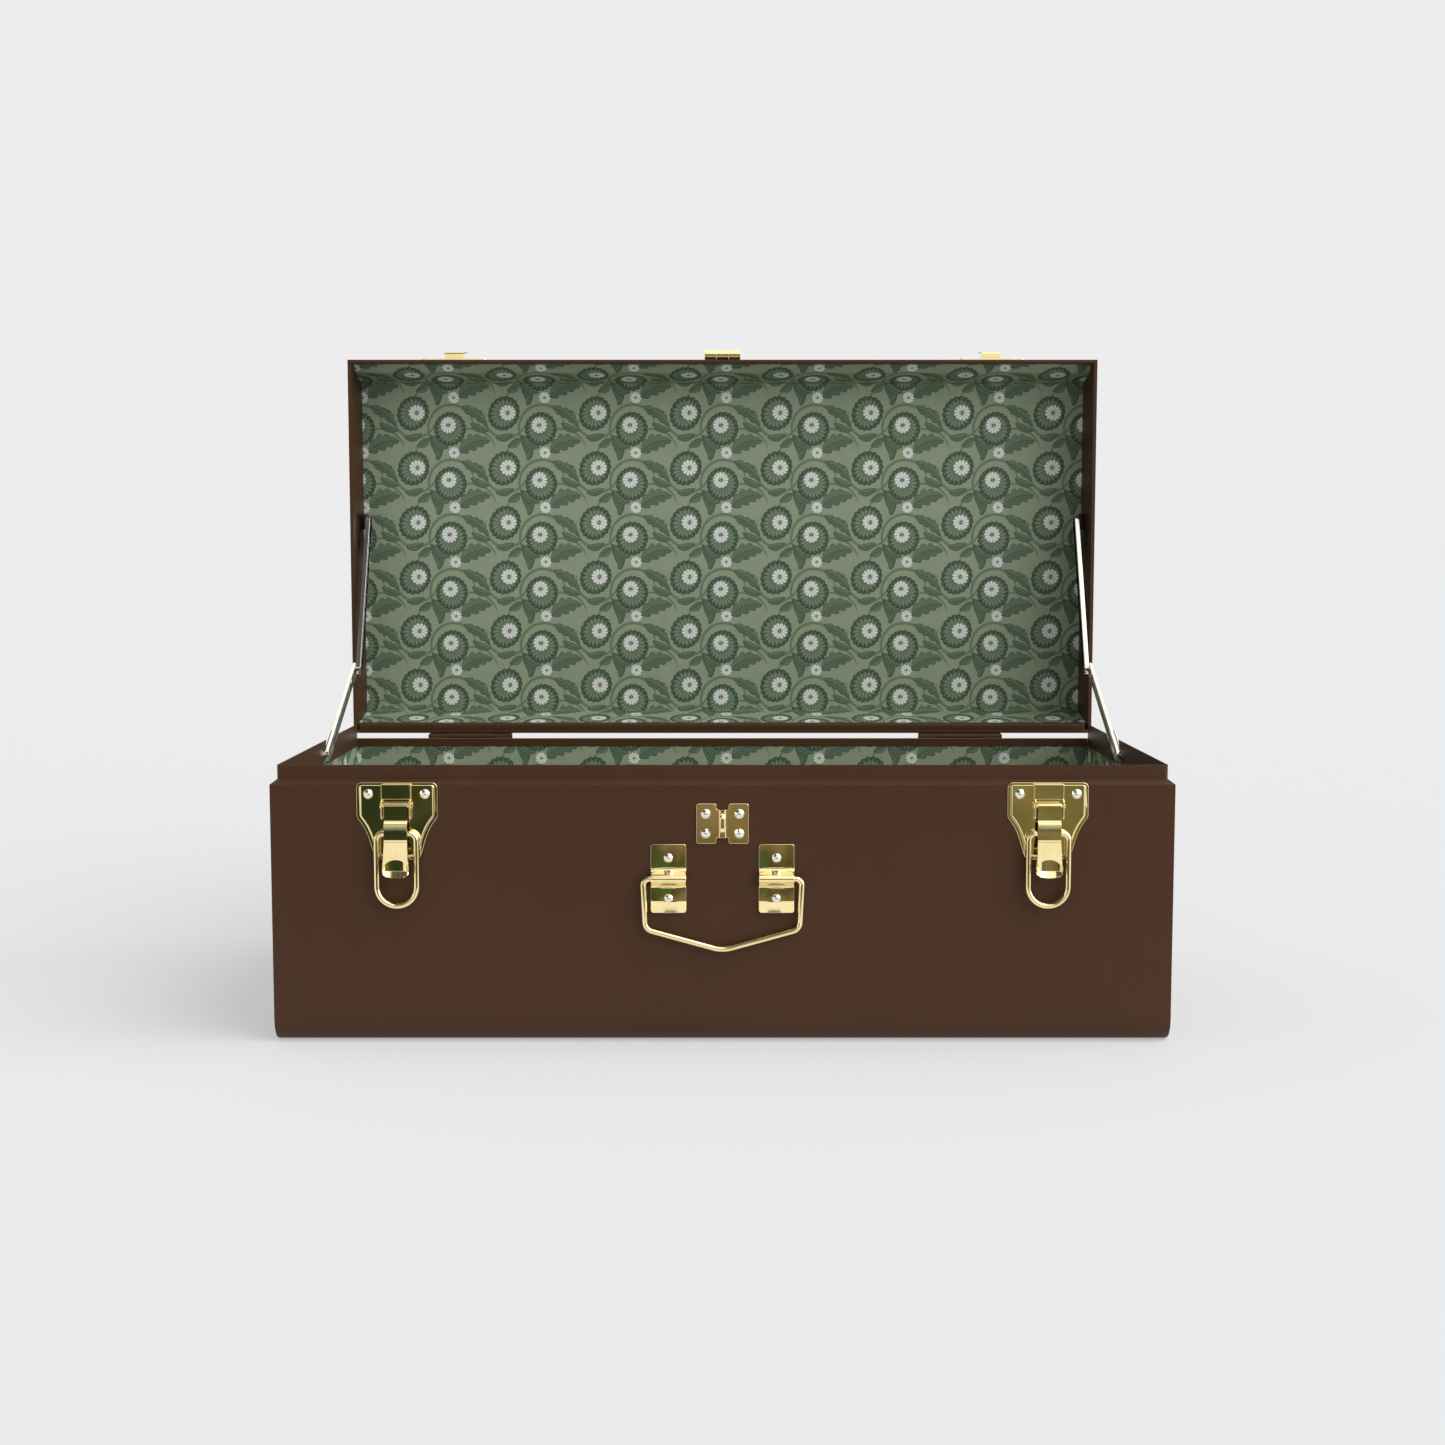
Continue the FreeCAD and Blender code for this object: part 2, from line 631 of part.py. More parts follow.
def latch_lever(side):
    """A folded lever: a rolled eye at the top, a stepped face and a scooped thumb tab."""
    x = side * LATCH_X
    half = LEVER_WIDE / 2
    y = FRONT
    t = LEVER_SHEET
    pivot = LEVER_PIVOT_Z
    face = [(7.4, 1.9), (8.9, -0.5), (9.0, -12.3), (11.6, -14.9), (12.2, -20.0)]
    face += [(11.6, -28.3), (14.6, -45.5), (16.2, -LEVER_LONG)]
    back = [(px - t, pz) for px, pz in reversed(face)]
    back[-2:] = [(8.9 - t, -0.9), (7.4 - t, 0.5)]
    points = [(y - px, pivot + pz) for px, pz in face + back]
    radii = [0.3, 1.4, 0.8, 0.9, 2.0, 2.5, 6.0, 0.7] + [0.7, 6.0, 2.5, 1.5, 0.8, 0.8, 0.8, 0.3]
    sheet = along_x(points, x - half, x + half, radii)
    flare, split = half + 1.6, pivot - 28.5
    low = pivot - LEVER_LONG
    tab = along_y(
        [(x - half, split), (x + half, split), (x + flare, low + 8.0), (x, low - 2.0), (x - flare, low + 8.0)],
        y - 20,
        y - 2,
        [0, 0, 5.0, 9.0, 5.0],
    )
    wide = along_x(points, x - half - 2.0, x + half + 2.0, radii)
    lower = wide.common(tab)
    upper = sheet.cut(block(x - 20, x + 20, y - 30, y, low - 10, split))
    eye = rod_x(x - half, x + half, y - LEVER_PIVOT_OUT, LEVER_PIVOT_Z, LEVER_BARREL_R)
    cheeks = []
    for s in (-1, 1):
        drops = [(8.0, 3.5), (11.0, 17.5), (11.0, 27.5), (4.6, 27.5), (4.6, 4.5)]
        profile = [(y - out, pivot - drop) for out, drop in drops]
        x0, x1 = sorted((x + s * half, x + s * (half - t)))
        cheeks.append(along_x(profile, x0, x1, [0, 0, 1.0, 2.5, 2.5]))
    lever = join([upper, lower, eye, *cheeks])
    scoop = Part.makeSphere(9.0, V(x, y - 15.2 - 7.8, low + 12.0))
    scoop_lip = block(x - 20, x + 20, y - 40, y, low - 10, low + 5.0)
    lever = lever.cut(scoop.cut(scoop_lip))
    lever = lever.cut(rod_x(x - 20, x + 20, y - LEVER_PIVOT_OUT, LEVER_PIVOT_Z, LEVER_PIN_R + PIN_FIT))
    hole = LOOP_WIRE_R + PIN_FIT
    return lever.cut(rod_x(x - 20, x + 20, y - LOOP_PIVOT_OUT, LOOP_PIVOT_Z, hole))


def latch_loop(side):
    """The drawn wire loop that hangs from the lever."""
    x = side * LATCH_X
    y = FRONT - LOOP_PIVOT_OUT
    half = LOOP_WIDE / 2
    top, low = LOOP_PIVOT_Z, LOOP_PIVOT_Z - LOOP_LONG
    points = [V(x, y, top), V(x + half, y, top), V(x + half, y, low), V(x - half, y, low), V(x - half, y, top)]
    bend = half - LOOP_END_FLAT
    return wire_bar(points + [V(x, y, top)], [0, LOOP_CORNER, bend, bend, LOOP_CORNER, 0], LOOP_WIRE_R)


def catch_plate(side):
    """The lid's catch: a plate with a tongue turned up into a hook."""
    x = side * LATCH_X
    low = RIM + CATCH_LOW
    y1 = FRONT
    y0 = FRONT - CATCH_SHEET
    half = CATCH_WIDE / 2
    plate = along_y(
        [(x - half, low), (x + half, low), (x + half, low + CATCH_TALL), (x - half, low + CATCH_TALL)],
        y0,
        y1,
        [3.0, 3.0, 6.0, 6.0],
    )
    bend = LOOP_WIDE / 2 - LOOP_END_FLAT
    inner = bend - LOOP_WIRE_R
    across = CATCH_HOOK_WIDE / 2
    seat = LOOP_PIVOT_Z + LOOP_LONG - bend + math.sqrt(inner**2 - across**2) - FIT
    out = FRONT - CATCH_HOOK_OUT
    t = 1.4
    profile = [(y1 - 0.5, seat - t), (out, seat - t), (out - 0.8, seat + 7.5)]
    profile += [(out - 0.8 + t, seat + 7.5), (out + t, seat), (y1 - 0.5, seat)]
    hook = along_x(profile, x - across, x + across, [0, 2.4, 0.6, 0.6, 1.0, 0])
    made = join([plate, hook])
    return opened(drilled(made, catch_rivets(), (0, 1, 0)))


# ---------------------------------------------------------------- hasp and staple
def hasp_staple():
    """Two leaves joined by a narrow waist, with an ear that takes a padlock."""
    half, waist = STAPLE_WIDE / 2, 6.0
    middle = (STAPLE_TOP + STAPLE_LOW) / 2
    tall = STAPLE_WAIST / 2
    shoulder = 7.0
    right = [(shoulder, STAPLE_TOP), (half, STAPLE_TOP), (half, STAPLE_LOW), (shoulder, STAPLE_LOW)]
    right += [(waist, middle - tall)]
    left = [(-px, pz) for px, pz in reversed(right)]
    order = [(waist, middle + tall)] + right + [(-waist, middle - tall)] + left[1:] + [(-waist, middle + tall)]
    radii = [0.8, 1.2, 2.0, 2.0, 1.2, 0.8, 0.8, 1.2, 2.0, 2.0, 1.2, 0.8]
    plate = along_y(order, FRONT - STAPLE_SHEET, FRONT, radii)
    ear = STAPLE_EAR_HALF
    ridge = along_z(
        [(-ear, FRONT), (ear, FRONT), (ear, FRONT - 3.4), (-ear, FRONT - 3.4)],
        middle - tall,
        middle + tall,
        [0, 0, 1.6, 1.6],
    )
    low, high = STAPLE_EAR_LOW, STAPLE_EAR_LOW + STAPLE_EAR_TALL
    out = FRONT - STAPLE_EAR_OUT
    loop = along_x(
        [(FRONT - 1, low), (out, low), (out, high), (FRONT - 1, high)], -ear, ear, [0, 6.0, 6.0, 0]
    )
    made = join([plate, ridge, loop])
    hole_z = low + STAPLE_EAR_TALL / 2
    made = made.cut(rod_x(-10, 10, FRONT - PADLOCK_OUT, hole_z, PADLOCK_R))
    return drilled(made, staple_rivets(), (0, 1, 0))


def hasp_axis():
    """Y and Z of the hasp's barrel on the shut lid."""
    return FRONT - HASP_OUT, RIM + HASP_RISE


def hasp_leaf():
    """The leaf on the lid: outer knuckles along its lower edge."""
    half, middle = HASP_WIDE / 2, HASP_WIDE / 6
    y, z = hasp_axis()
    low, high = z - 2.0, z + HASP_LEAF_TALL
    plate = along_y(
        [(-half, low), (half, low), (half, high), (-half, high)], FRONT - HASP_SHEET, FRONT, [0, 0, 3.0, 3.0]
    )
    notch = block(-middle - FIT, middle + FIT, FRONT - 20, FRONT + 1, low - 1, z + HASP_BARREL_R + FIT)
    parts = [plate.cut(notch)]
    for s in (-1, 1):
        parts.append(rod_x(s * (middle + FIT), s * half, y, z, HASP_BARREL_R))
    leaf = join(parts)
    leaf = leaf.cut(rod_x(-half - 1, half + 1, y, z, HASP_PIN_R + TOUCH))
    leaf = leaf.cut(block(-half - 1, half + 1, FRONT, FRONT + 10, low - 1, high))
    return opened(drilled(leaf, hasp_rivets(), (0, 1, 0)))


def hasp_pin():
    half = HASP_WIDE / 2
    y, z = hasp_axis()
    return opened(rod_x(-half, half, y, z, HASP_PIN_R))


def hasp_strap():
    """The slotted strap, drawn folded back over its leaf."""
    half, middle = HASP_WIDE / 2, HASP_WIDE / 6
    y, z = hasp_axis()
    outer = y - HASP_BOW - HASP_SHEET / 2
    inner = outer + HASP_SHEET
    root, tip = z + HASP_BARREL_R + 2 * FIT, z + HASP_LONG
    taper = 3.5
    right = [(half, root), (half, root + 12.0), (half - taper, tip)]
    points = right + [(-px, pz) for px, pz in reversed(right)]
    plate = along_y(points, outer, inner, [1.5, 8.0, 6.0, 6.0, 8.0, 1.5])
    neck = block(-middle, middle, outer, inner, z, root + 1.0)
    knuckle = rod_x(-middle, middle, y, z, HASP_BARREL_R)
    far = z - STAPLE_EAR_LOW
    near = far - STAPLE_EAR_TALL
    slot_half = STAPLE_EAR_HALF + 1.0
    ends = (z + near - 1.5, z + far + 2.0)
    slot = [(-slot_half, ends[0]), (slot_half, ends[0]), (slot_half, ends[1]), (-slot_half, ends[1])]
    strap = join([plate, neck, knuckle]).cut(along_y(slot, outer - 1, inner + 1, [2.0] * 4))
    strap = strap.cut(rod_x(-half, half, y, z, HASP_PIN_R + PIN_FIT))
    return opened(strap)


# ---------------------------------------------------------------- carrying handle
def handle_clip(side):
    """A pressed strap, bowed out over the handle's end."""
    x = side * HANDLE_CLIP_X
    half = HANDLE_CLIP_WIDE / 2
    t = HANDLE_CLIP_SHEET
    y = FRONT
    out = HANDLE_OUT
    ring = HANDLE_WIRE_R + PIN_FIT
    top, low, z = HANDLE_CLIP_TOP, HANDLE_CLIP_LOW, HANDLE_Z
    bow = ring + t
    profile = [(y, top), (y - t, top), (y - t - 0.5, z + bow + 5.0), (y - t - 0.2, z + bow + 1.0)]
    profile += [(y - out - bow, z + bow - 0.4), (y - out - bow, z - bow + 0.4), (y - t - 0.2, z - bow - 1.0)]
    profile += [(y - t - 0.5, z - bow - 5.0), (y - t, low), (y, low)]
    radii = [0, 0.8, 3.0, 1.2, 3.4, 3.4, 1.2, 3.0, 0.8, 0]
    solid = along_x(profile, x - half, x + half, radii)
    plan = [(x - half, low), (x + half, low), (x + half, top), (x - half, top)]
    solid = solid.common(along_y(plan, y - 20, y + 1, [3.0] * 4))
    bore = rod_x(x - half - 1, x + half + 1, y - out, z, ring)
    solid = solid.cut(bore)
    return drilled(solid, handle_rivets(), (0, 1, 0))


def handle_bail():
    """The carrying bail: a bent bar with its low point in the middle."""
    y, z = FRONT - HANDLE_OUT, HANDLE_Z
    half = HANDLE_WIDE / 2
    end = HANDLE_CLIP_X - HANDLE_CLIP_WIDE / 2 + 1.0
    left = [(-end, z), (-half, z), (-half + 2.0, z - HANDLE_LEG)]
    points = left + [(0.0, z - HANDLE_DROP)] + [(-px, pz) for px, pz in reversed(left)]
    radii = [0, 5.5, 8.0, 30.0, 8.0, 5.5, 0]
    return wire_bar([V(px, y, pz) for px, pz in points], radii, HANDLE_WIRE_R)


# ---------------------------------------------------------------- lid stays
def link(foot, head, x0, x1, web_at, wide, deep_from_web):
    """A channel from foot to head: its web lies at web_at and its lips run to the other face."""
    dy, dz = head[0] - foot[0], head[1] - foot[1]
    span = math.hypot(dy, dz)
    half = wide / 2
    ends = [(-half, -half), (span + half, -half), (span + half, half), (-half, half)]
    outer = [V(x0, px, pz) for px, pz in ends]
    body = Part.Face(outline(outer, [half - 0.01] * 4)).extrude(V(x1 - x0, 0, 0))
    g = STAY_SHEET
    inner_ends = [(-half + g, -half + g), (span + half - g, -half + g)]
    inner_ends += [(span + half - g, half - g), (-half + g, half - g)]
    c0, c1 = (x0 - 1, x1 - g) if web_at == "high" else (x0 + g, x1 + 1)
    hollow = [V(c0, px, pz) for px, pz in inner_ends]
    body = body.cut(Part.Face(outline(hollow, [half - g - 0.01] * 4)).extrude(V(c1 - c0, 0, 0)))
    body.rotate(V(0, 0, 0), V(1, 0, 0), math.degrees(math.atan2(dz, dy)))
    body.translate(V(0, foot[0], foot[1]))
    return body


def stay_layers(side):
    """X of the stay's layers, from the neck band inwards: plate, lower link, upper link."""
    wall = HALF - NECK_IN
    plate = (wall - STAY_PLATE, wall)
    lower_out = plate[0] - FIT
    lower = (lower_out - STAY_LOWER_DEEP, lower_out)
    upper_out = lower[0] - FIT
    upper = (upper_out - STAY_UPPER_DEEP, upper_out)
    return [tuple(sorted((side * a, side * b))) for a, b in (plate, lower, upper)]


def outward(side):
    return "high" if side > 0 else "low"


def stay_lower(side):
    _, (x0, x1), _ = stay_layers(side)
    bar = link(STAY_FOOT, STAY_KNEE, x0, x1, outward(side), STAY_LOWER_WIDE, STAY_LOWER_DEEP)
    bar = bar.cut(rod_x(x0 - 1, x1 + 1, *STAY_FOOT, STAY_PIN_R + PIN_FIT))
    return bar.cut(rod_x(x0 - 1, x1 + 1, *STAY_KNEE, STAY_PIN_R + 3 * PIN_FIT))


def stay_upper(side):
    _, _, (x0, x1) = stay_layers(side)
    bar = link(STAY_KNEE, STAY_HEAD, x0, x1, outward(side), STAY_UPPER_WIDE, STAY_UPPER_DEEP)
    bar = bar.cut(rod_x(x0 - 1, x1 + 1, *STAY_KNEE, STAY_PIN_R + TOUCH))
    return bar.cut(rod_x(x0 - 1, x1 + 1, *STAY_HEAD, STAY_PIN_R + PIN_FIT))


def headed_pin(x_from, x_to, head_x, place, radius=STAY_PIN_R):
    """A pin from x_from to x_to with a low head that ends at head_x."""
    y, z = place
    shank = rod(V(x_from, y, z), V(x_to, y, z), radius)
    head = rod(V(x_to, y, z), V(head_x, y, z), radius + 1.6)
    return join([shank, head])


def stay_knee_rivet(side):
    """Held in the upper link. It stops short of the lower link, whose eye it lines up with."""
    _, _, (x0, x1) = stay_layers(side)
    out, inn = (x1, x0) if side > 0 else (x0, x1)
    web = out - side * STAY_SHEET
    return headed_pin(out, web, web - side * 1.8, STAY_KNEE)


def stay_foot_plate(side):
    """Plate on the neck band with a turned-in lip under the lower link, where the link stops."""
    (x0, x1), (l0, l1), _ = stay_layers(side)
    angle = math.atan2(STAY_KNEE[1] - STAY_FOOT[1], STAY_KNEE[0] - STAY_FOOT[0])
    half = STAY_LOWER_WIDE / 2
    lip = STAY_LOWER_WIDE / 2 + FIT
    plate_ends = [(-9.0, -lip - 1.4), (40.0, -lip - 1.4), (40.0, half + 1.0), (-9.0, half + 1.0)]
    plate = Part.Face(outline([V(x0, a, b) for a, b in plate_ends], [3.0, 3.0, 5.0, 6.0]))
    plate = plate.extrude(V(x1 - x0, 0, 0))
    low, high = sorted((x0 if side > 0 else x1, l0 if side > 0 else l1))
    stop = block(low - (0 if side > 0 else 0.5), high + (0.5 if side > 0 else 0), 12.0, 38.0, -lip - 1.4, -lip)
    made = join([plate, stop])
    made.rotate(V(0, 0, 0), V(1, 0, 0), math.degrees(angle))
    made.translate(V(0, *STAY_FOOT))
    below = block(-HALF, HALF, FRONT, REAR, NECK_LOW - 60, NECK_LOW)
    above = block(-HALF, HALF, FRONT, REAR, NECK_TOP + 8.0, NECK_TOP + 80)
    made = made.cut(below).cut(above)
    return made.cut(rod_x(x0 - 1, x1 + 1, *STAY_FOOT, STAY_PIN_R + TOUCH))


def stay_foot_rivet(side):
    (x0, x1), (l0, l1), _ = stay_layers(side)
    out, web = (x1, l1 - STAY_SHEET) if side > 0 else (x0, l0 + STAY_SHEET)
    return headed_pin(out, web - side * FIT, web - side * (FIT + 1.4), STAY_FOOT)


def stay_head_bracket(side):
    """A folded bracket on the lid's cheek that carries the upper link."""
    _, _, (x0, x1) = stay_layers(side)
    cheek = HALF - HEM
    ear_out = abs(x1 if side > 0 else x0) + FIT
    y, z = STAY_HEAD
    deep = 16.0
    foot = block(side * cheek, side * (cheek - 1.4), y - 6.0, y + deep, z - 26.0, z + 9.0)
    ear = block(side * ear_out, side * (ear_out + 1.4), y - 7.0, y + 7.0, z - 8.0, z + 8.0)
    ear = ear.makeFillet(5.0, [e for e in ear.Edges if e.BoundBox.YLength < 0.1 and e.BoundBox.ZLength < 0.1])
    step = block(side * cheek, side * ear_out, y + 3.0, y + 7.0, z - 8.0, z + 8.0)
    made = join([foot, ear, step])
    return made.cut(rod_x(-HALF * 2, HALF * 2, y, z, STAY_PIN_R + TOUCH))


def stay_head_rivet(side):
    _, _, (x0, x1) = stay_layers(side)
    out, inn = (x1, x0) if side > 0 else (x0, x1)
    ear = abs(out) + FIT + 1.4
    web = out - side * STAY_SHEET
    return headed_pin(side * ear, web - side * FIT, web - side * (FIT + 1.4), STAY_HEAD)


# ---------------------------------------------------------------- rivet groups
def rivet_group(places, stand, grip, tail=True):
    """Rivets on the front face: stand is what is under the head."""
    return Part.makeCompound([rivet(p - V(0, stand, 0), (0, 1, 0), stand + grip, tail) for p in places])


def nodes():
    through = LINED + PAPER
    made = {
        "body_wrap": body_wrap(),
        "neck_band": neck_band(),
        "rear_rail": rear_rail(),
        "board_wrap": board_wrap(),
        "body_lining": body_lining(),
        "lid_wrap": lid_wrap(),
        "lid_board": lid_board(),
        "lid_lining": lid_lining(),
        "lid_rear_rail": lid_rear_rail(),
        "hinge_pins": Part.makeCompound([hinge_pin(x) for x in HINGE_X]),
        "latch_pins": Part.makeCompound([lever_pin(side) for _, side in SIDES]),
        "hasp_staple": hasp_staple(),
        "hasp_leaf": hasp_leaf(),
        "hasp_pin": hasp_pin(),
        "hasp_strap": hasp_strap(),
        "handle_bail": handle_bail(),
        "latch_rivets": rivet_group(latch_rivets(), LATCH_PLATE_RISE, through),
        "handle_rivets": rivet_group(handle_rivets(), HANDLE_CLIP_SHEET + 0.4, through),
        "staple_rivets": rivet_group(staple_rivets(), STAPLE_SHEET, through),
        "hinge_rivets_body": hinge_rivet_group("body"),
        "hinge_rivets_lid": hinge_rivet_group("lid"),
        "catch_rivets": opened(rivet_group(catch_rivets(), CATCH_SHEET, RIVET_GRIP_LID, False)),
        "hasp_rivets": opened(rivet_group(hasp_rivets(), HASP_SHEET, RIVET_GRIP_LID, False)),
    }
    for (name, side), x in zip(SIDES, HINGE_X):
        made[f"body_end_{name}"] = body_end(side)
        made[f"board_end_{name}"] = board_end(side)
        made[f"lid_end_{name}"] = lid_end(side)
        made[f"lid_cheek_{name}"] = lid_cheek(side)
        made[f"hinge_leaf_body_{name}"] = hinge_leaf(x, "body")
        made[f"hinge_leaf_lid_{name}"] = hinge_leaf(x, "lid")
        made[f"latch_plate_{name}"] = latch_plate(side)
        made[f"latch_bracket_{name}"] = latch_bracket(side)
        made[f"latch_lever_{name}"] = latch_lever(side)
        made[f"latch_loop_{name}"] = latch_loop(side)
        made[f"catch_plate_{name}"] = catch_plate(side)
        made[f"handle_clip_{name}"] = handle_clip(side)
        made[f"stay_foot_plate_{name}"] = stay_foot_plate(side)
        made[f"stay_lower_{name}"] = stay_lower(side)
        made[f"stay_upper_{name}"] = stay_upper(side)
        made[f"stay_head_bracket_{name}"] = stay_head_bracket(side)
    made["stay_knee_rivet_left"] = stay_knee_rivet(-1)
    made["stay_knee_rivet_right"] = stay_knee_rivet(1)
    made["stay_foot_rivets"] = Part.makeCompound([stay_foot_rivet(-1), stay_foot_rivet(1)])
    made["stay_head_rivets"] = Part.makeCompound([stay_head_rivet(-1), stay_head_rivet(1)])
    return made


def main():
    os.makedirs("parts", exist_ok=True)
    for name, shape in nodes().items():
        solids = shape.Solids
        good = all(s.isValid() and s.Volume > 0 for s in solids) and solids
        print(f"{name:26s} {len(solids)} solid(s) {shape.Volume / 1000:9.2f} cm3 {'' if good else 'BAD'}")
        shape.exportStep(f"parts/{name}.step")


main()
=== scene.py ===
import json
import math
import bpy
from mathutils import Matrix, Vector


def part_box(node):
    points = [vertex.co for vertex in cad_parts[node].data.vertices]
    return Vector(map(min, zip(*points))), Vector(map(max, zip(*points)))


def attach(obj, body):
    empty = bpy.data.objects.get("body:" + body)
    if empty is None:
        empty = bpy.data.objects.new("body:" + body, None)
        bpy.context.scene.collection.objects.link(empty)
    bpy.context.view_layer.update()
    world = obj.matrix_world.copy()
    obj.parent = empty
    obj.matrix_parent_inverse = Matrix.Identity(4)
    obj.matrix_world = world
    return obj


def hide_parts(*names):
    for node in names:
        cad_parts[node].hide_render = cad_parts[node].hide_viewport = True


bl_info = {
    "name": "Footlocker",
    "version": (1, 0, 0),
    "blender": (4, 5, 0),
    "location": "View3D > Sidebar > Footlocker",
    "description": "Linings, hardware, finishes and studio for a steel footlocker built around its fixed frame",
    "category": "Object",
}

import bmesh
import bpy
from bpy.props import FloatProperty, FloatVectorProperty, PointerProperty
from mathutils import Vector

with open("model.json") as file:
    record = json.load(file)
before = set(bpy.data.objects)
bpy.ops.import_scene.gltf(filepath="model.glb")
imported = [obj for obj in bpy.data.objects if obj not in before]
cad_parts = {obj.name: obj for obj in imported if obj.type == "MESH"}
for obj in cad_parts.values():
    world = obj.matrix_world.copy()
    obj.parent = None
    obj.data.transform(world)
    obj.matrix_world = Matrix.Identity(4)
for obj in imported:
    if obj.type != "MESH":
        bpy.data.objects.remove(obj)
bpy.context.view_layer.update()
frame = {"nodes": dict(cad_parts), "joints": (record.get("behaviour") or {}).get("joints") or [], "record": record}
MM = 0.001
NEAR = 1e-5  # metres within which two places count as the same
SIDES = ("left", "right")


# ---- settings
def colour(name, description, srgb):
    """A colour property whose default is given as 0 to 255 display values."""
    linear = [((v / 255 + 0.055) / 1.055) ** 2.4 if v > 10 else v / 255 / 12.92 for v in srgb]
    return FloatVectorProperty(
        name=name, description=description, default=linear, subtype="COLOR", size=3, min=0, max=1
    )


def length(name, description, default):
    """A length property in metres."""
    return FloatProperty(name=name, description=description, default=default, unit="LENGTH", subtype="DISTANCE")


def angle(name, description, degrees):
    return FloatProperty(name=name, description=description, default=math.radians(degrees), subtype="ANGLE")


class FootlockerColours(bpy.types.PropertyGroup):
    paint: colour("Paint", "Brown enamel on the steel", (68, 42, 23))
    paint_dark: colour("Dark Enamel", "Enamel on the lid brackets and hinge pins", (40, 32, 28))
    board: colour("Board", "Bare fibre board edges", (128, 104, 80))
    brass: colour("Brass", "Plated brass hardware", (250, 234, 182))
    nickel: colour("Nickel", "Rivets and lid stays", (236, 234, 230))
    print_ground: colour("Print Ground", "Sage ground of the lining print", (143, 154, 129))
    print_leaf: colour("Print Leaf", "Leaves and vines of the print", (104, 123, 99))
    print_bloom: colour("Print Bloom", "Large scalloped blooms of the print", (100, 121, 96))
    print_dark: colour("Print Dark", "Outlines and shadows of the print", (48, 68, 50))
    print_petal: colour("Print Petal", "Pale daisy petals of the print", (226, 230, 222))
    floor: colour("Floor", "Studio floor", (172, 172, 172))
    backdrop: colour("Backdrop", "Studio backdrop as it shows behind the trunk", (237, 237, 237))


class FootlockerPrint(bpy.types.PropertyGroup):
    cell_width: length("Cell Width", "Repeat of the print along the trunk", 0.095)
    cell_height: length("Cell Height", "Repeat of the print up the lid", 0.057)
    edge: length("Edge Softness", "Blur of the print's inked edges", 0.0004)


class FootlockerLining(bpy.types.PropertyGroup):
    paper: length("Paper", "Thickness of the lining paper", 0.0005)
    rear_lean: length("Rear Lean", "How far the lid's rear lining slopes in", 0.0081)
    front_lean: length("Front Lean", "How far the lid's front lining slopes in", 0.0160)
    front_step: length("Front Step", "Slope of the front lining's outer part", 0.0075)
    front_step_depth: length("Front Step Depth", "Depth of the front lining's outer part", 0.0115)
    crease: length("Crease", "Rounding where the paper folds", 0.0012)
    bend: length("Bend", "Rounding from the body's floor to its long walls", 0.0143)


class FootlockerStage(bpy.types.PropertyGroup):
    camera_back: length("Camera Back", "Camera distance in front of the trunk's centre", 1.8443)
    camera_height: length("Camera Height", "Camera height above the floor", 0.4266)
    camera_pitch: angle("Camera Pitch", "Angle from straight down", 84.693)
    lens: FloatProperty(name="Lens", description="Focal length on a 36 mm sensor", default=49.53, unit="CAMERA")
    sky: FloatProperty(name="Sky", description="Strength of the even studio light", default=0.58)
    lift: FloatProperty(name="Lift", description="How much of the floor's brightness is its own", default=0.385)
    key: FloatProperty(name="Key", description="Strength of the wide soft light from the right", default=2.8)
    key_spread: angle("Key Spread", "Apparent width of the wide soft light", 70.0)
    key_height: angle("Key Height", "Height of the wide soft light", 38.0)


class Step:
    """What every operator here has in common."""

    bl_options = {"REGISTER", "UNDO"}


def settings(group):
    return getattr(bpy.context.scene, "footlocker_" + group)


def pivot(joint):
    """Where a joint of the frame turns, in metres."""
    return Vector(next(j["pos_m"] for j in frame["joints"] if j["name"] == joint))


# ---- shader arithmetic
class Field:
    """A number that changes over the surface. Arithmetic on it adds Math nodes to its tree."""

    def __init__(self, tree, socket):
        self.tree, self.socket = tree, socket

    def math(self, operation, *others, clamp=False):
        node = self.tree.nodes.new("ShaderNodeMath")
        node.operation = operation
        node.use_clamp = clamp
        for value, entry in zip((self, *others), node.inputs):
            put(self.tree, value, entry)
        return Field(self.tree, node.outputs[0])

    def __neg__(self):
        return self * -1.0

    def wrapped(self, period):
        """Folded into one repeat, from minus half a period to half."""
        return self.math("WRAP", period * 0.5, period * -0.5)

    def clamped(self):
        return self.math("ADD", 0.0, clamp=True)


FIELD_STEPS = {
    "__add__": "ADD", "__sub__": "SUBTRACT", "__mul__": "MULTIPLY", "__truediv__": "DIVIDE", "sin": "SINE",
    "cos": "COSINE", "abs": "ABSOLUTE", "sqrt": "SQRT", "power": "POWER", "maximum": "MAXIMUM", "minimum": "MINIMUM",
}
for step, kind in FIELD_STEPS.items():
    setattr(Field, step, lambda self, *others, kind=kind: self.math(kind, *others))


def put(tree, value, entry):
    """Set a socket from a number, a colour or a Field, or link it from a socket."""
    if isinstance(value, Field):
        tree.links.new(value.socket, entry)
    elif isinstance(value, bpy.types.NodeSocket):
        tree.links.new(value, entry)
    else:
        entry.default_value = value


def mixed(tree, factor, first, second):
    """A colour that goes from first to second with factor."""
    node = tree.nodes.new("ShaderNodeMix")
    node.data_type = "RGBA"
    put(tree, factor, node.inputs[0])
    for value, entry in ((first, node.inputs[6]), (second, node.inputs[7])):
        put(tree, (*value, 1.0) if not hasattr(value, "links") else value, entry)
    return node.outputs[2]


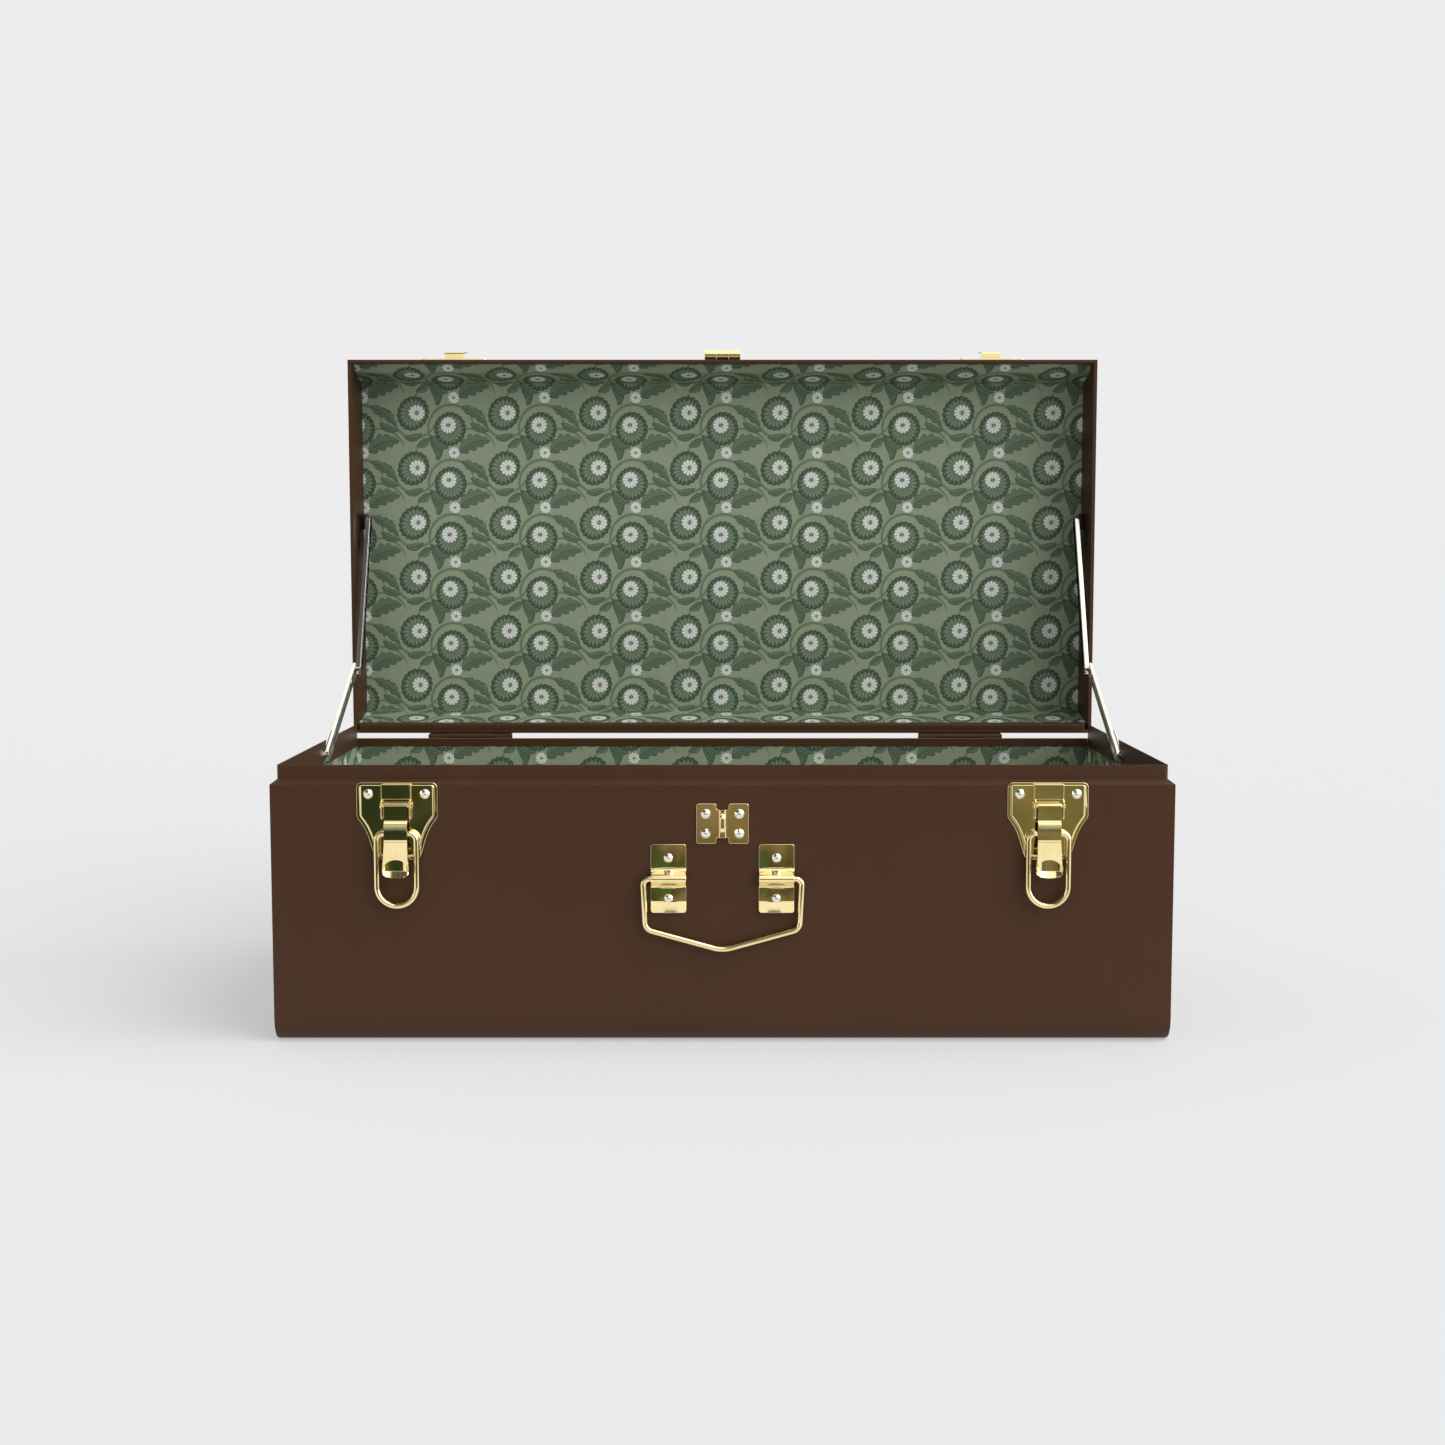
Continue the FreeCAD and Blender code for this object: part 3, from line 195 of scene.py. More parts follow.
def group(name, inputs, outputs):
    """A new shader node group: returns its tree, its inputs as Fields or sockets, and its output node."""
    tree = bpy.data.node_groups.new(name, "ShaderNodeTree")
    for label, kind, default in inputs:
        socket = tree.interface.new_socket(label, in_out="INPUT", socket_type="NodeSocket" + kind)
        if default is not None:
            socket.default_value = default
    for label, kind in outputs:
        tree.interface.new_socket(label, in_out="OUTPUT", socket_type="NodeSocket" + kind)
    entry = tree.nodes.new("NodeGroupInput")
    leave = tree.nodes.new("NodeGroupOutput")
    given = {}
    for label, kind, _ in inputs:
        socket = entry.outputs[label]
        given[label] = Field(tree, socket) if kind == "Float" else socket
    return tree, given, leave


def handed(tree, node, **values):
    """Set or link a node's inputs; underscores in the names stand for spaces."""
    for label, value in values.items():
        put(tree, value, node.inputs[label.replace("_", " ")])


def placed(tree, group_tree, **values):
    """A group put into a tree with its own values."""
    node = tree.nodes.new("ShaderNodeGroup")
    node.node_tree = group_tree
    handed(tree, node, **values)
    return node


def split(tree, vector):
    node = tree.nodes.new("ShaderNodeSeparateXYZ")
    put(tree, vector, node.inputs[0])
    return [Field(tree, socket) for socket in node.outputs]


def noise(tree, vector, scale, detail=3.0, roughness=0.55):
    node = tree.nodes.new("ShaderNodeTexNoise")
    handed(tree, node, Vector=vector, Scale=scale, Detail=detail, Roughness=roughness)
    return Field(tree, node.outputs[0])


# ---- the printed pattern
PRINT_PLACE = {
    "Across": 0.0, "Up": 0.0, "Centre X": 0.0, "Centre Y": 0.0, "Turn": 0.0,
    "Cell Width": 95.0, "Cell Height": 57.0, "Edge": 0.4,
}


def ornament(name, own, outputs=("Mask", "Shade")):
    """A group for one ornament, with its place in its own turned axes, in the nearest repeat."""
    inputs = [(label, "Float", default) for label, default in {**PRINT_PLACE, **own}.items()]
    tree, given, leave = group(name, inputs, [(label, "Float") for label in outputs])
    x = (given["Across"] - given["Centre X"]).wrapped(given["Cell Width"])
    y = (given["Up"] - given["Centre Y"]).wrapped(given["Cell Height"])
    cos, sin = given["Turn"].cos(), given["Turn"].sin()
    return tree, given, leave, x * cos + y * sin, y * cos - x * sin


def inked(distance, edge):
    """1 inside, where distance is positive, and 0 outside, blurred over edge."""
    return (distance / edge + 0.5).clamped()


def leaf_group():
    """A veined leaf from its stalk at the centre out along its own X."""
    own = {"Length": 25.0, "Width": 9.0, "Bend": 3.0, "Lobes": 0.0}
    tree, given, leave, x, y = ornament("Print Leaf", own)
    along = x / given["Length"]
    belly = (along * (-along + 1.0) * 4.0).maximum(0.0)
    off = y - given["Bend"] * belly
    lobe = ((along * given["Lobes"] - off.abs() / given["Width"]) * math.pi).sin().abs()
    lobed = given["Lobes"].minimum(1.0)
    shape = belly.power(0.75) * (along * -0.25 + 1.12) * (lobe * lobed * 0.34 - lobed * 0.34 + 1.0)
    distance = given["Width"] * shape * 0.5 - off.abs()
    mask = inked(distance - 0.3, given["Edge"])
    rib = inked(-(off.abs() - 0.42), 0.4)
    slant = (x - off.abs() * 1.3) * (2 * math.pi / 3.1)
    vein = (slant.sin() * 0.5 + 0.5).power(3.0) * 0.55
    brim = inked(-(distance - 0.85), 0.7) * 0.85
    under = inked(off * -1.0, 1.2) * 0.22
    shade = (rib * 0.55).maximum(vein).maximum(brim) + under
    handed(tree, leave, Mask=mask, Shade=shade.clamped())
    return tree


def polar(x, y):
    return (x * x + y * y).sqrt(), y.math("ARCTAN2", x)


def bloom_group():
    """A large round bloom with two rows of scalloped, streaked petals."""
    own = {"Radius": 17.5, "Squash": 1.06, "Petals": 11.0}
    tree, given, leave, x, y = ornament("Print Bloom", own, ("Mask", "Shade", "Light"))
    r, angle = polar(x, y / given["Squash"])
    scallop = (angle * given["Petals"]).cos().abs().power(0.55)
    outer = given["Radius"] * (scallop * 0.10 + 0.90)
    mask = inked(outer - r, given["Edge"])
    inner_scallop = (angle * given["Petals"] + 0.9).cos().abs().power(0.7)
    inner = given["Radius"] * (inner_scallop * 0.12 + 0.68)
    is_outer = inked(r - inner, 0.8)
    seam = inked(-((r - inner).abs() - 0.45), 0.6)
    streak = ((angle * given["Petals"] * 2.0).sin() * 0.5 + 0.5).power(2.0)
    fine = ((angle * given["Petals"] * 5.0).sin() * 0.5 + 0.5) * 0.3
    gap = (-scallop + 1.0).power(1.2)
    rim = inked(-(outer - r - 1.2), 1.4)
    shade = is_outer * 0.34 + streak * 0.30 + fine * 0.4 + seam * 0.35 + gap * is_outer * 0.6 + rim * 0.45
    light = (-(r / given["Radius"] - 0.60).abs() * 3.0 + 1.0).clamped() * (-streak + 1.0)
    handed(tree, leave, Mask=mask, Shade=shade.clamped(), Light=light)
    return tree


def daisy_group():
    """A pale daisy with parted petals and a dark eye."""
    own = {"Radius": 8.4, "Petals": 7.0, "Eye": 2.1, "Squash": 1.05}
    tree, given, leave, x, y = ornament("Print Daisy", own)
    r, angle = polar(x, y / given["Squash"])
    petal = (angle * given["Petals"]).cos().abs()
    outer = given["Radius"] * (petal.power(0.6) * 0.2 + 0.8)
    mask = inked(outer - r, given["Edge"])
    part = (-petal + 1.0).power(2.5) * 0.85 * (r / given["Radius"]).power(0.6)
    round_off = (r / given["Radius"]).power(4.0) * 0.15
    centre_r = (x * x + (y * 1.35) * (y * 1.35)).sqrt()
    eye = inked(given["Eye"] - centre_r, 0.6)
    heart = inked(given["Eye"] * 0.45 - centre_r, 0.5)
    near = inked(given["Eye"] * 1.5 - r, 1.6) * 0.22
    shade = (part + round_off + near).maximum(eye) - heart * 0.45
    handed(tree, leave, Mask=mask, Shade=shade.clamped())
    return tree


def vine_group():
    """Part of a round tendril: an arc of a ring that tapers towards its ends."""
    own = {"Radius": 23.0, "Sweep": 2.0, "Thickness": 1.6}
    tree, given, leave, x, y = ornament("Print Vine", own)
    r, angle = polar(x, y)
    taper = (-(angle.abs() / given["Sweep"]).power(3.0) + 1.0).maximum(0.0)
    off = (r - given["Radius"] - angle * 0.7).abs()
    distance = given["Thickness"] * taper * 0.5 - off
    mask = inked(distance - 0.3, given["Edge"])
    shade = inked(-(distance - 0.55), 0.5) * 0.75
    handed(tree, leave, Mask=mask, Shade=shade)
    return tree


# Each ornament: its group, its tone, how far its ink stands up, its own values' names, and a row for each place it
# is printed: centre across, centre up, turn in degrees, then its own values, in millimetres.
ORNAMENTS = (
    (vine_group, "leaf", 0.6, ("Radius", "Sweep", "Thickness"), (
        (2.0, 1.5, 118.0, 24.0, 2.2, 3.2),
        (-37.5, 13.5, 262.0, 22.5, 1.8, 3.2),
        (22.0, -27.0, 75.0, 27.0, 1.15, 2.6),
        (-14.0, -34.0, 112.0, 24.0, 0.95, 2.6),
    )),
    (leaf_group, "leaf", 0.6, ("Length", "Width", "Bend", "Lobes"), (
        (8.5, -24.5, 20.0, 36.0, 19.0, 5.0, 4.0),
        (12.0, -33.0, 344.0, 24.0, 11.0, -2.5, 3.0),
        (-21.0, -6.0, 290.0, 28.0, 12.0, 3.0, 0.0),
        (-20.0, -8.0, 328.0, 22.0, 10.0, -2.5, 0.0),
        (-22.0, -9.5, 214.0, 16.0, 9.0, 1.5, 0.0),
        (17.5, 20.5, 320.0, 29.0, 11.0, 2.5, 3.0),
        (21.0, 6.5, 338.0, 22.0, 8.5, -2.0, 0.0),
        (-48.0, -9.0, 12.0, 20.0, 8.5, -2.0, 0.0),
        (-14.0, 24.0, 62.0, 13.0, 6.5, 1.5, 0.0),
    )),
    (bloom_group, "bloom", 0.6, ("Radius", "Squash", "Petals"), (
        (0.0, 0.0, 80.0, 18.0, 0.94, 10.0),
        (-38.5, 16.2, 62.0, 18.6, 0.88, 9.0),
    )),
    (daisy_group, "petal", 1.0, ("Radius", "Petals", "Eye"), (
        (-1.7, 4.0, 10.0, 8.2, 6.5, 2.3),
        (-34.6, 16.8, 75.0, 8.2, 6.0, 2.3),
        (4.2, -24.6, 30.0, 5.8, 5.0, 1.5),
    )),
)


def print_group():
    """The whole lining print: takes a surface place in metres, and gives its colour and inked depth."""
    tree, given, leave = group(
        "Lining Print", [("Place", "Vector", None)], [("Color", "Color"), ("Ink", "Float")]
    )
    shades = settings("colours")
    sizes = settings("print")
    sway = noise(tree, given["Place"], 38.0, 2.0) - 0.5
    x, y, _ = split(tree, given["Place"])
    across = x / MM + sway * 0.9
    up = y / MM - sway * 0.9
    cell = dict(Cell_Width=sizes.cell_width / MM, Cell_Height=sizes.cell_height / MM, Edge=sizes.edge / MM)
    wash = noise(tree, given["Place"], 90.0, 4.0)
    ground = mixed(tree, (wash - 0.35) * 0.5, shades.print_ground, shades.print_leaf)
    ink = (wash - 0.5) * 0.1
    for build, tone, stand, labels, rows in ORNAMENTS:
        drawing = build()
        for centre_x, centre_y, turn, *own in rows:
            where = dict(Across=across, Up=up, Centre_X=centre_x, Centre_Y=centre_y, Turn=math.radians(turn))
            node = placed(tree, drawing, **cell, **where, **dict(zip(labels, own)))
            base = getattr(shades, "print_" + tone)
            if "Light" in node.outputs:
                base = mixed(tree, Field(tree, node.outputs["Light"]) * 0.55, base, shades.print_ground)
            tint = mixed(tree, node.outputs["Shade"], base, shades.print_dark)
            ground = mixed(tree, node.outputs["Mask"], ground, tint)
            ink = ink.maximum(Field(tree, node.outputs["Mask"]) * stand)
    handed(tree, leave, Color=ground, Ink=ink)
    return tree


# ---- finishes
def new_finish():
    """A new material with only a Principled shader: returns the material, its tree and the shader."""
    material = bpy.data.materials.new("studio sweep")
    material.use_nodes = True
    tree = material.node_tree
    tree.nodes.clear()
    shader = tree.nodes.new("ShaderNodeBsdfPrincipled")
    output = tree.nodes.new("ShaderNodeOutputMaterial")
    tree.links.new(shader.outputs[0], output.inputs[0])
    return material, tree, shader


def scaled(tone, factor):
    return tuple(v * factor for v in tone)


def object_place(tree):
    return tree.nodes.new("ShaderNodeTexCoord").outputs["Object"]


def bumped(tree, shader, height, distance, strength=1.0):
    node = tree.nodes.new("ShaderNodeBump")
    handed(tree, node, Strength=strength, Distance=distance, Height=height)
    tree.links.new(node.outputs[0], shader.inputs["Normal"])


def handling_group():
    """Faint marks that polished and painted metal picks up: smudges, fine scratches and ripple."""
    tree, given, leave = group(
        "Handling Marks",
        [("Place", "Vector", None), ("Smudge Size", "Float", 30.0), ("Ripple Size", "Float", 900.0)],
        [("Smudge", "Float"), ("Ripple", "Float"), ("Scratch", "Float")],
    )
    smudge = noise(tree, given["Place"], given["Smudge Size"], 4.0, 0.6)
    ripple = noise(tree, given["Place"], given["Ripple Size"], 2.0, 0.5)
    stretch = tree.nodes.new("ShaderNodeMapping")
    handed(tree, stretch, Vector=given["Place"], Rotation=(0.3, 0.2, 0.5), Scale=(900.0, 30.0, 900.0))
    streak = noise(tree, stretch.outputs[0], 1.0, 2.0, 0.7)
    scratch = ((streak - 0.62) * 6.0).clamped()
    handed(tree, leave, Smudge=smudge, Ripple=ripple, Scratch=scratch)
    return tree


def paint_finish(marks, tone):
    """Satin enamel over steel, with orange peel and a little unevenness in its sheen."""
    material, tree, shader = new_finish()
    node = placed(tree, marks, Place=object_place(tree), Smudge_Size=7.0, Ripple_Size=420.0)
    smudge = Field(tree, node.outputs["Smudge"])
    sheen = mixed(tree, smudge, scaled(tone, 0.86), scaled(tone, 1.10))
    handed(tree, shader, Base_Color=sheen, Roughness=smudge * 0.10 + 0.42, Specular_IOR_Level=0.22)
    bumped(tree, shader, node.outputs["Ripple"], 0.00004, 0.35)
    return material


def plated_finish(marks, tone, roughness, tint_dark):
    """Polished plating: metal with faint smudges, hairline scratches and slight ripple."""
    material, tree, shader = new_finish()
    node = placed(tree, marks, Place=object_place(tree), Smudge_Size=60.0, Ripple_Size=160.0)
    smudge = Field(tree, node.outputs["Smudge"])
    scratch = Field(tree, node.outputs["Scratch"])
    dark = tuple(v * t for v, t in zip(tone, tint_dark))
    tint = mixed(tree, (smudge - 0.35) * 1.2, tone, dark)
    rough = (smudge - 0.4) * 0.10 + scratch * 0.10 + roughness
    handed(tree, shader, Base_Color=tint, Metallic=1.0, Roughness=rough.clamped())
    bumped(tree, shader, node.outputs["Ripple"], 0.00003, 0.3)
    return material


def board_finish(tone):
    """Compressed fibre board: short matted fibres."""
    material, tree, shader = new_finish()
    place = object_place(tree)
    fibre = noise(tree, place, 700.0, 5.0, 0.75)
    blotch = noise(tree, place, 25.0, 3.0)
    matted = mixed(tree, fibre * 0.7 + blotch * 0.3, scaled(tone, 0.6), tone)
    handed(tree, shader, Base_Color=matted, Roughness=0.85)
    bumped(tree, shader, fibre, 0.0002, 0.6)
    return material


def lining_finish():
    """Printed paper: the print over a fine laid grain, the ink a little raised and glossier."""
    material, tree, shader = new_finish()
    uv = tree.nodes.new("ShaderNodeUVMap")
    uv.uv_map = "print"
    node = placed(tree, print_group(), Place=uv.outputs[0])
    grain = noise(tree, uv.outputs[0], 2600.0, 3.0, 0.7)
    shade = mixed(tree, (grain - 0.5) * 0.5, node.outputs["Color"], settings("colours").print_dark)
    ink = Field(tree, node.outputs["Ink"])
    handed(tree, shader, Base_Color=shade, Roughness=ink * -0.08 + 0.66, Specular_IOR_Level=0.3)
    bumped(tree, shader, ink * 0.5 + grain * 0.35, 0.00012, 0.6)
    return material


class FOOTLOCKER_OT_finishes(Step, bpy.types.Operator):
    """Make every finish and put the metal and board finishes on the frame's own nodes"""

    bl_idname = "footlocker.finishes"
    bl_label = "Finishes"

    def execute(self, context):
        shades = settings("colours")
        marks = handling_group()
        made = {
            "brown_paint": paint_finish(marks, shades.paint),
            "dark_steel": paint_finish(marks, shades.paint_dark),
            "fibreboard": board_finish(shades.board),
            "brass": plated_finish(marks, shades.brass, 0.07, (0.9, 0.82, 0.6)),
            "nickel": plated_finish(marks, shades.nickel, 0.10, (0.85, 0.85, 0.86)),
            "lining_print": lining_finish(),
        }
        for slot, material in made.items():
            material.name = FINISH_NAMES[slot]
        for part in frame["record"]["subparts"]:
            node = frame["nodes"][part["node"]]
            node.data.materials.clear()
            node.data.materials.append(made[part["material_slot"]])
        return {"FINISHED"}


FINISH_NAMES = {
    "brown_paint": "brown enamel",
    "dark_steel": "dark enamel",
    "fibreboard": "fibre board",
    "brass": "plated brass",
    "nickel": "plated nickel",
    "lining_print": "printed lining",
}


# ---- modelling steps
def clear_selection():
    if bpy.context.mode != "OBJECT":
        bpy.ops.object.mode_set(mode="OBJECT")
    bpy.ops.object.select_all(action="DESELECT")


def finish_edit():
    bpy.ops.object.mode_set(mode="OBJECT")


def pick_all():
    bpy.ops.mesh.select_all(action="SELECT")


def bevel(offset, segments, affect="EDGES"):
    bpy.ops.mesh.bevel(offset=offset, segments=segments, affect=affect)


def edit(obj):
    """Go into edit mode on one object with nothing selected."""
    clear_selection()
    bpy.context.view_layer.objects.active = obj
    obj.select_set(True)
    bpy.ops.object.mode_set(mode="EDIT")
    bpy.ops.mesh.select_all(action="DESELECT")


def pick(obj, kind, test):
    """Select the verts, edges or faces of the edited mesh that pass a test."""
    mesh = bmesh.from_edit_mesh(obj.data)
    bpy.context.tool_settings.mesh_select_mode = (kind == "verts", kind == "edges", kind == "faces")
    for element in (*mesh.verts, *mesh.edges, *mesh.faces):
        element.select = False
    chosen = [e for e in getattr(mesh, kind) if test(e)]
    for element in chosen:
        element.select_set(True)
    mesh.select_flush_mode()
    bmesh.update_edit_mesh(obj.data)
    if not chosen:
        raise RuntimeError(f"nothing to select on {obj.name}")


def move(x, y, z):
    bpy.ops.transform.translate(value=(x, y, z))


def spans(edge, axis):
    """Whether an edge has some length along an axis."""
    start, stop = (getattr(v.co, axis) for v in edge.verts)
    return abs(start - stop) > NEAR


def pick_edges(obj, inside, along=""):
    """Select the edges with both ends inside, and with some length along each named axis."""
    pick(obj, "edges", lambda e: all(inside(v) for v in e.verts) and all(spans(e, axis) for axis in along))


def extrude(x, y, z):
    bpy.ops.mesh.extrude_region_move(TRANSFORM_OT_translate={"value": (x, y, z)})


def modified(obj, kind, **values):
    """Add a modifier and apply it."""
    clear_selection()
    bpy.context.view_layer.objects.active = obj
    modifier = obj.modifiers.new(kind.lower(), kind)
    for name, value in values.items():
        setattr(modifier, name, value)
    bpy.ops.object.modifier_apply(modifier=modifier.name)


def recalculated(obj):
    edit(obj)
    pick_all()
    bpy.ops.mesh.remove_doubles(threshold=1e-6)
    bpy.ops.mesh.normals_make_consistent(inside=False)
    finish_edit()


def turned_over(obj):
    edit(obj)
    pick_all()
    bpy.ops.mesh.flip_normals()
    finish_edit()


def outward(obj):
    """Recalculate a closed shell's normals and turn them over if they all came out pointing in."""
    recalculated(obj)
    mesh = bmesh.new()
    mesh.from_mesh(obj.data)
    inside_out = mesh.calc_volume(signed=True) < 0
    mesh.free()
    if inside_out:
        turned_over(obj)


def settled(obj, name, slot, body, node, smooth=35.0):
    """Name a finished piece, put its place in its mesh, and hand it to its body, slot and CAD node."""
    clear_selection()
    bpy.context.view_layer.objects.active = obj
    obj.select_set(True)
    bpy.ops.object.transform_apply(location=True, rotation=True, scale=True)
    bpy.ops.object.shade_smooth_by_angle(angle=math.radians(smooth))
    modified(obj, "WEIGHTED_NORMAL", mode="FACE_AREA", weight=50, keep_sharp=True)
    obj.name = obj.data.name = name
    obj.data.materials.clear()
    obj.data.materials.append(bpy.data.materials[FINISH_NAMES[slot]])
    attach(obj, body)
    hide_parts(node)


def block(low, high):
    """A box between two corners, open for editing."""
    clear_selection()
    bpy.ops.mesh.primitive_cube_add(size=1.0, location=(Vector(low) + Vector(high)) / 2)
    obj = bpy.context.object
    obj.scale = Vector(high) - Vector(low)
    bpy.ops.object.transform_apply(location=True, scale=True)
    edit(obj)
    return obj


def sliced(places):
    """Cut the edited mesh through at each X."""
    for x in places:
        pick_all()
        bpy.ops.mesh.bisect(plane_co=(x, 0.0, 0.0), plane_no=(1.0, 0.0, 0.0))


# ---- linings
def lid_lining_path():
    """Y and Z of the lid's lining from its hinge side to its front, on the open lid."""
    sizes = settings("lining")
    low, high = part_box("lid_lining")
    back = high.y - sizes.paper
    return [
        (low.y, low.z + sizes.paper),
        (back, low.z + sizes.paper + sizes.rear_lean),
        (back, high.z - sizes.paper - sizes.front_lean),
        (low.y + sizes.front_step_depth, high.z - sizes.paper - sizes.front_step),
        (low.y, high.z - sizes.paper),
    ]


class FOOTLOCKER_OT_lid_lining(Step, bpy.types.Operator):
    """Fold the printed paper over the lid's shaped board"""

    bl_idname = "footlocker.lid_lining"
    bl_label = "Lid Lining"

    def execute(self, context):
        sizes = settings("lining")
        low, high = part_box("lid_lining")
        path = [Vector((0.0, y, z)) for y, z in lid_lining_path()]
        obj = rolled_strip(lid_lining_path(), (high.x - low.x) / 2)
        edit(obj)
        creases = path[1:-1]
        pick_edges(obj, lambda v: min((v.co - c).yz.length for c in creases) < NEAR)
        bevel(sizes.crease, 4)
        pick_all()
        bpy.ops.mesh.normals_make_consistent(inside=False)
        finish_edit()
        face_front(obj, Vector((0.0, -1.0, 0.0)))
        unrolled(obj, path)
        thickened(obj, sizes.paper, careful=False)
        settled(obj, "lid_lining_print", "lining_print", "lid", "lid_lining", smooth=25.0)
        return {"FINISHED"}


def face_front(obj, way):
    """Turn every face of an open sheet over if the sheet looks away from way."""
    total = sum((f.normal * f.area for f in obj.data.polygons), Vector())
    if total.dot(way) < 0:
        turned_over(obj)


def path_length(point, path):
    """How far along the Y, Z path a point lies."""
    best, run, found = 1e9, 0.0, 0.0
    for here, there in zip(path, path[1:]):
        step = (there - here).yz
        t = max(0.0, min(1.0, (point - here).yz.dot(step) / step.length_squared))
        gap = ((point - here).yz - step * t).length
        if gap < best - 1e-9:
            best, found = gap, run + t * step.length
        run += step.length
    return found


def unrolled(obj, path):
    """Map the print on as if the sheet were laid flat: across is X, up is the way along the path."""
    layer = obj.data.uv_layers.new(name="print")
    for corner in obj.data.loops:
        co = obj.data.vertices[corner.vertex_index].co
        layer.data[corner.index].uv = (co.x, path_length(co, path))


class FOOTLOCKER_OT_body_lining(Step, bpy.types.Operator):
    """Paper the inside of the body: floor, long walls and ends"""

    bl_idname = "footlocker.body_lining"
    bl_label = "Body Lining"

    def execute(self, context):
        sizes = settings("lining")
        low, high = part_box("body_lining")
        low = low + Vector((sizes.paper,) * 3)
        high = Vector((high.x - sizes.paper, high.y - sizes.paper, high.z))
        obj = block(low, high)
        pick(obj, "faces", lambda f: f.normal.z > 0.9)
        bpy.ops.mesh.delete(type="FACE")
        pick_edges(obj, lambda v: v.co.z < low.z + NEAR, "x")
        bevel(sizes.bend, 8)
        pick_all()
        bpy.ops.mesh.normals_make_consistent(inside=True)
        finish_edit()
        face_front(obj, Vector((0.0, 0.0, 1.0)))
        body_unrolled(obj, low, high, sizes.bend)
        thickened(obj, sizes.paper, careful=False)
        settled(obj, "body_lining_print", "lining_print", "body", "body_lining", smooth=25.0)
        return {"FINISHED"}


def body_unrolled(obj, low, high, bend):
    """Print upright on each wall: across is the way along the wall and up is Z."""
    layer = obj.data.uv_layers.new(name="print")
    half = (high.y - low.y) / 2 - bend
    centre_z = low.z + bend
    for face in obj.data.polygons:
        for i in face.loop_indices:
            co = obj.data.vertices[obj.data.loops[i].vertex_index].co
            if abs(face.normal.x) > 0.9:
                layer.data[i].uv = (co.y - math.copysign(0.02, face.normal.x), co.z)
                continue
            side = 1.0 if co.y > 0 else -1.0
            if abs(co.y) <= half + 1e-6:
                run = co.y
            elif co.z >= centre_z - 1e-6:
                run = side * (half + bend * math.pi / 2 + co.z - centre_z)
            else:
                turn = math.atan2(abs(co.y) - half, centre_z - co.z)
                run = side * (half + bend * turn)
            layer.data[i].uv = (co.x, run)


# ---- hardware steps
def outline_sheet(points):
    """A flat face with its corners at the points, started from a round and pulled into shape."""
    clear_selection()
    bpy.ops.mesh.primitive_circle_add(vertices=len(points), radius=0.01, fill_type="NGON", location=(0.0, 0.0, 0.0))
    obj = bpy.context.object
    edit(obj)
    for index, point in enumerate(points):
        pick(obj, "verts", lambda v: v.index == index)
        here = bmesh.from_edit_mesh(obj.data).verts
        here.ensure_lookup_table()
        bpy.ops.transform.translate(value=Vector(point) - here[index].co)
    return obj


def placed_one_by_one(obj, indices, place):
    """Move each of the vertices to the place worked out from where it is."""
    for index in indices:
        pick(obj, "verts", lambda v: v.index == index)
        verts = bmesh.from_edit_mesh(obj.data).verts
        verts.ensure_lookup_table()
        here = verts[index].co.copy()
        bpy.ops.transform.translate(value=Vector(place(here)) - here)


def rolled_strip(profile, half):
    """A strip across X that follows a Y, Z profile."""
    clear_selection()
    bpy.ops.mesh.primitive_plane_add(size=2.0)
    obj = bpy.context.object
    edit(obj)
    pick(obj, "verts", lambda v: v.co.y > 0)
    bpy.ops.mesh.delete(type="VERT")
    pick_all()
    first = Vector((0.0, *profile[0]))
    bpy.ops.transform.translate(value=first + Vector((0.0, 1.0, 0.0)))
    bpy.ops.transform.resize(value=(half, 1.0, 1.0), center_override=first)
    for (y0, z0), (y1, z1) in zip(profile, profile[1:]):
        extrude(0.0, y1 - y0, z1 - z0)
    finish_edit()
    return obj


def arc(centre_y, centre_z, radius, start, stop, steps):
    """Y, Z points round a centre, with angles in degrees from straight out at the front, turning up."""
    turns = [math.radians(start + (stop - start) * i / steps) for i in range(steps + 1)]
    return [(centre_y - radius * math.cos(t), centre_z + radius * math.sin(t)) for t in turns]


def thickened(obj, thickness, careful=True):
    modified(obj, "SOLIDIFY", thickness=thickness, offset=-1.0, use_even_offset=True, use_quality_normals=careful)


def softened(obj, width, segments=3, angle=30.0):
    modified(
        obj, "BEVEL", width=width, segments=segments, limit_method="ANGLE", angle_limit=math.radians(angle),
        harden_normals=False,
    )


def joined(first, *others):
    clear_selection()
    for obj in (first, *others):
        obj.select_set(True)
    bpy.context.view_layer.objects.active = first
    bpy.ops.object.join()
    return first


def bored(obj, place, radius, depth, turn):
    """Cut a round hole right through."""
    clear_selection()
    bpy.ops.mesh.primitive_cylinder_add(vertices=40, radius=radius, depth=depth, location=place, rotation=turn)
    cutter = bpy.context.object
    modified(obj, "BOOLEAN", object=cutter, operation="DIFFERENCE", solver="EXACT")
    bpy.data.objects.remove(cutter)


def box_middle(node):
    low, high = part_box(node)
    return (low.x + high.x) / 2


def paired(obj, name, node, body="body", across=box_middle):
    """Put a brass copy with its own mesh at each side, and take the pattern away."""
    for side in SIDES:
        clear_selection()
        copy = obj.copy()
        copy.data = obj.data.copy()
        bpy.context.collection.objects.link(copy)
        copy.location = (across(node + side), 0.0, 0.0)
        settled(copy, name + side, "brass", body.replace("SIDE", side), node + side)
    bpy.data.objects.remove(obj)


# ---- latches
# Half width and drop from the top, in mm, down one side of the latch plate.
PLATE_SIDE = (
    (34.0, 28.2), (33.0, 30.6), (30.2, 34.4), (27.6, 38.6), (25.4, 43.4), (23.6, 48.6), (21.9, 54.4), (20.0, 60.4),
    (17.4, 65.2),
)
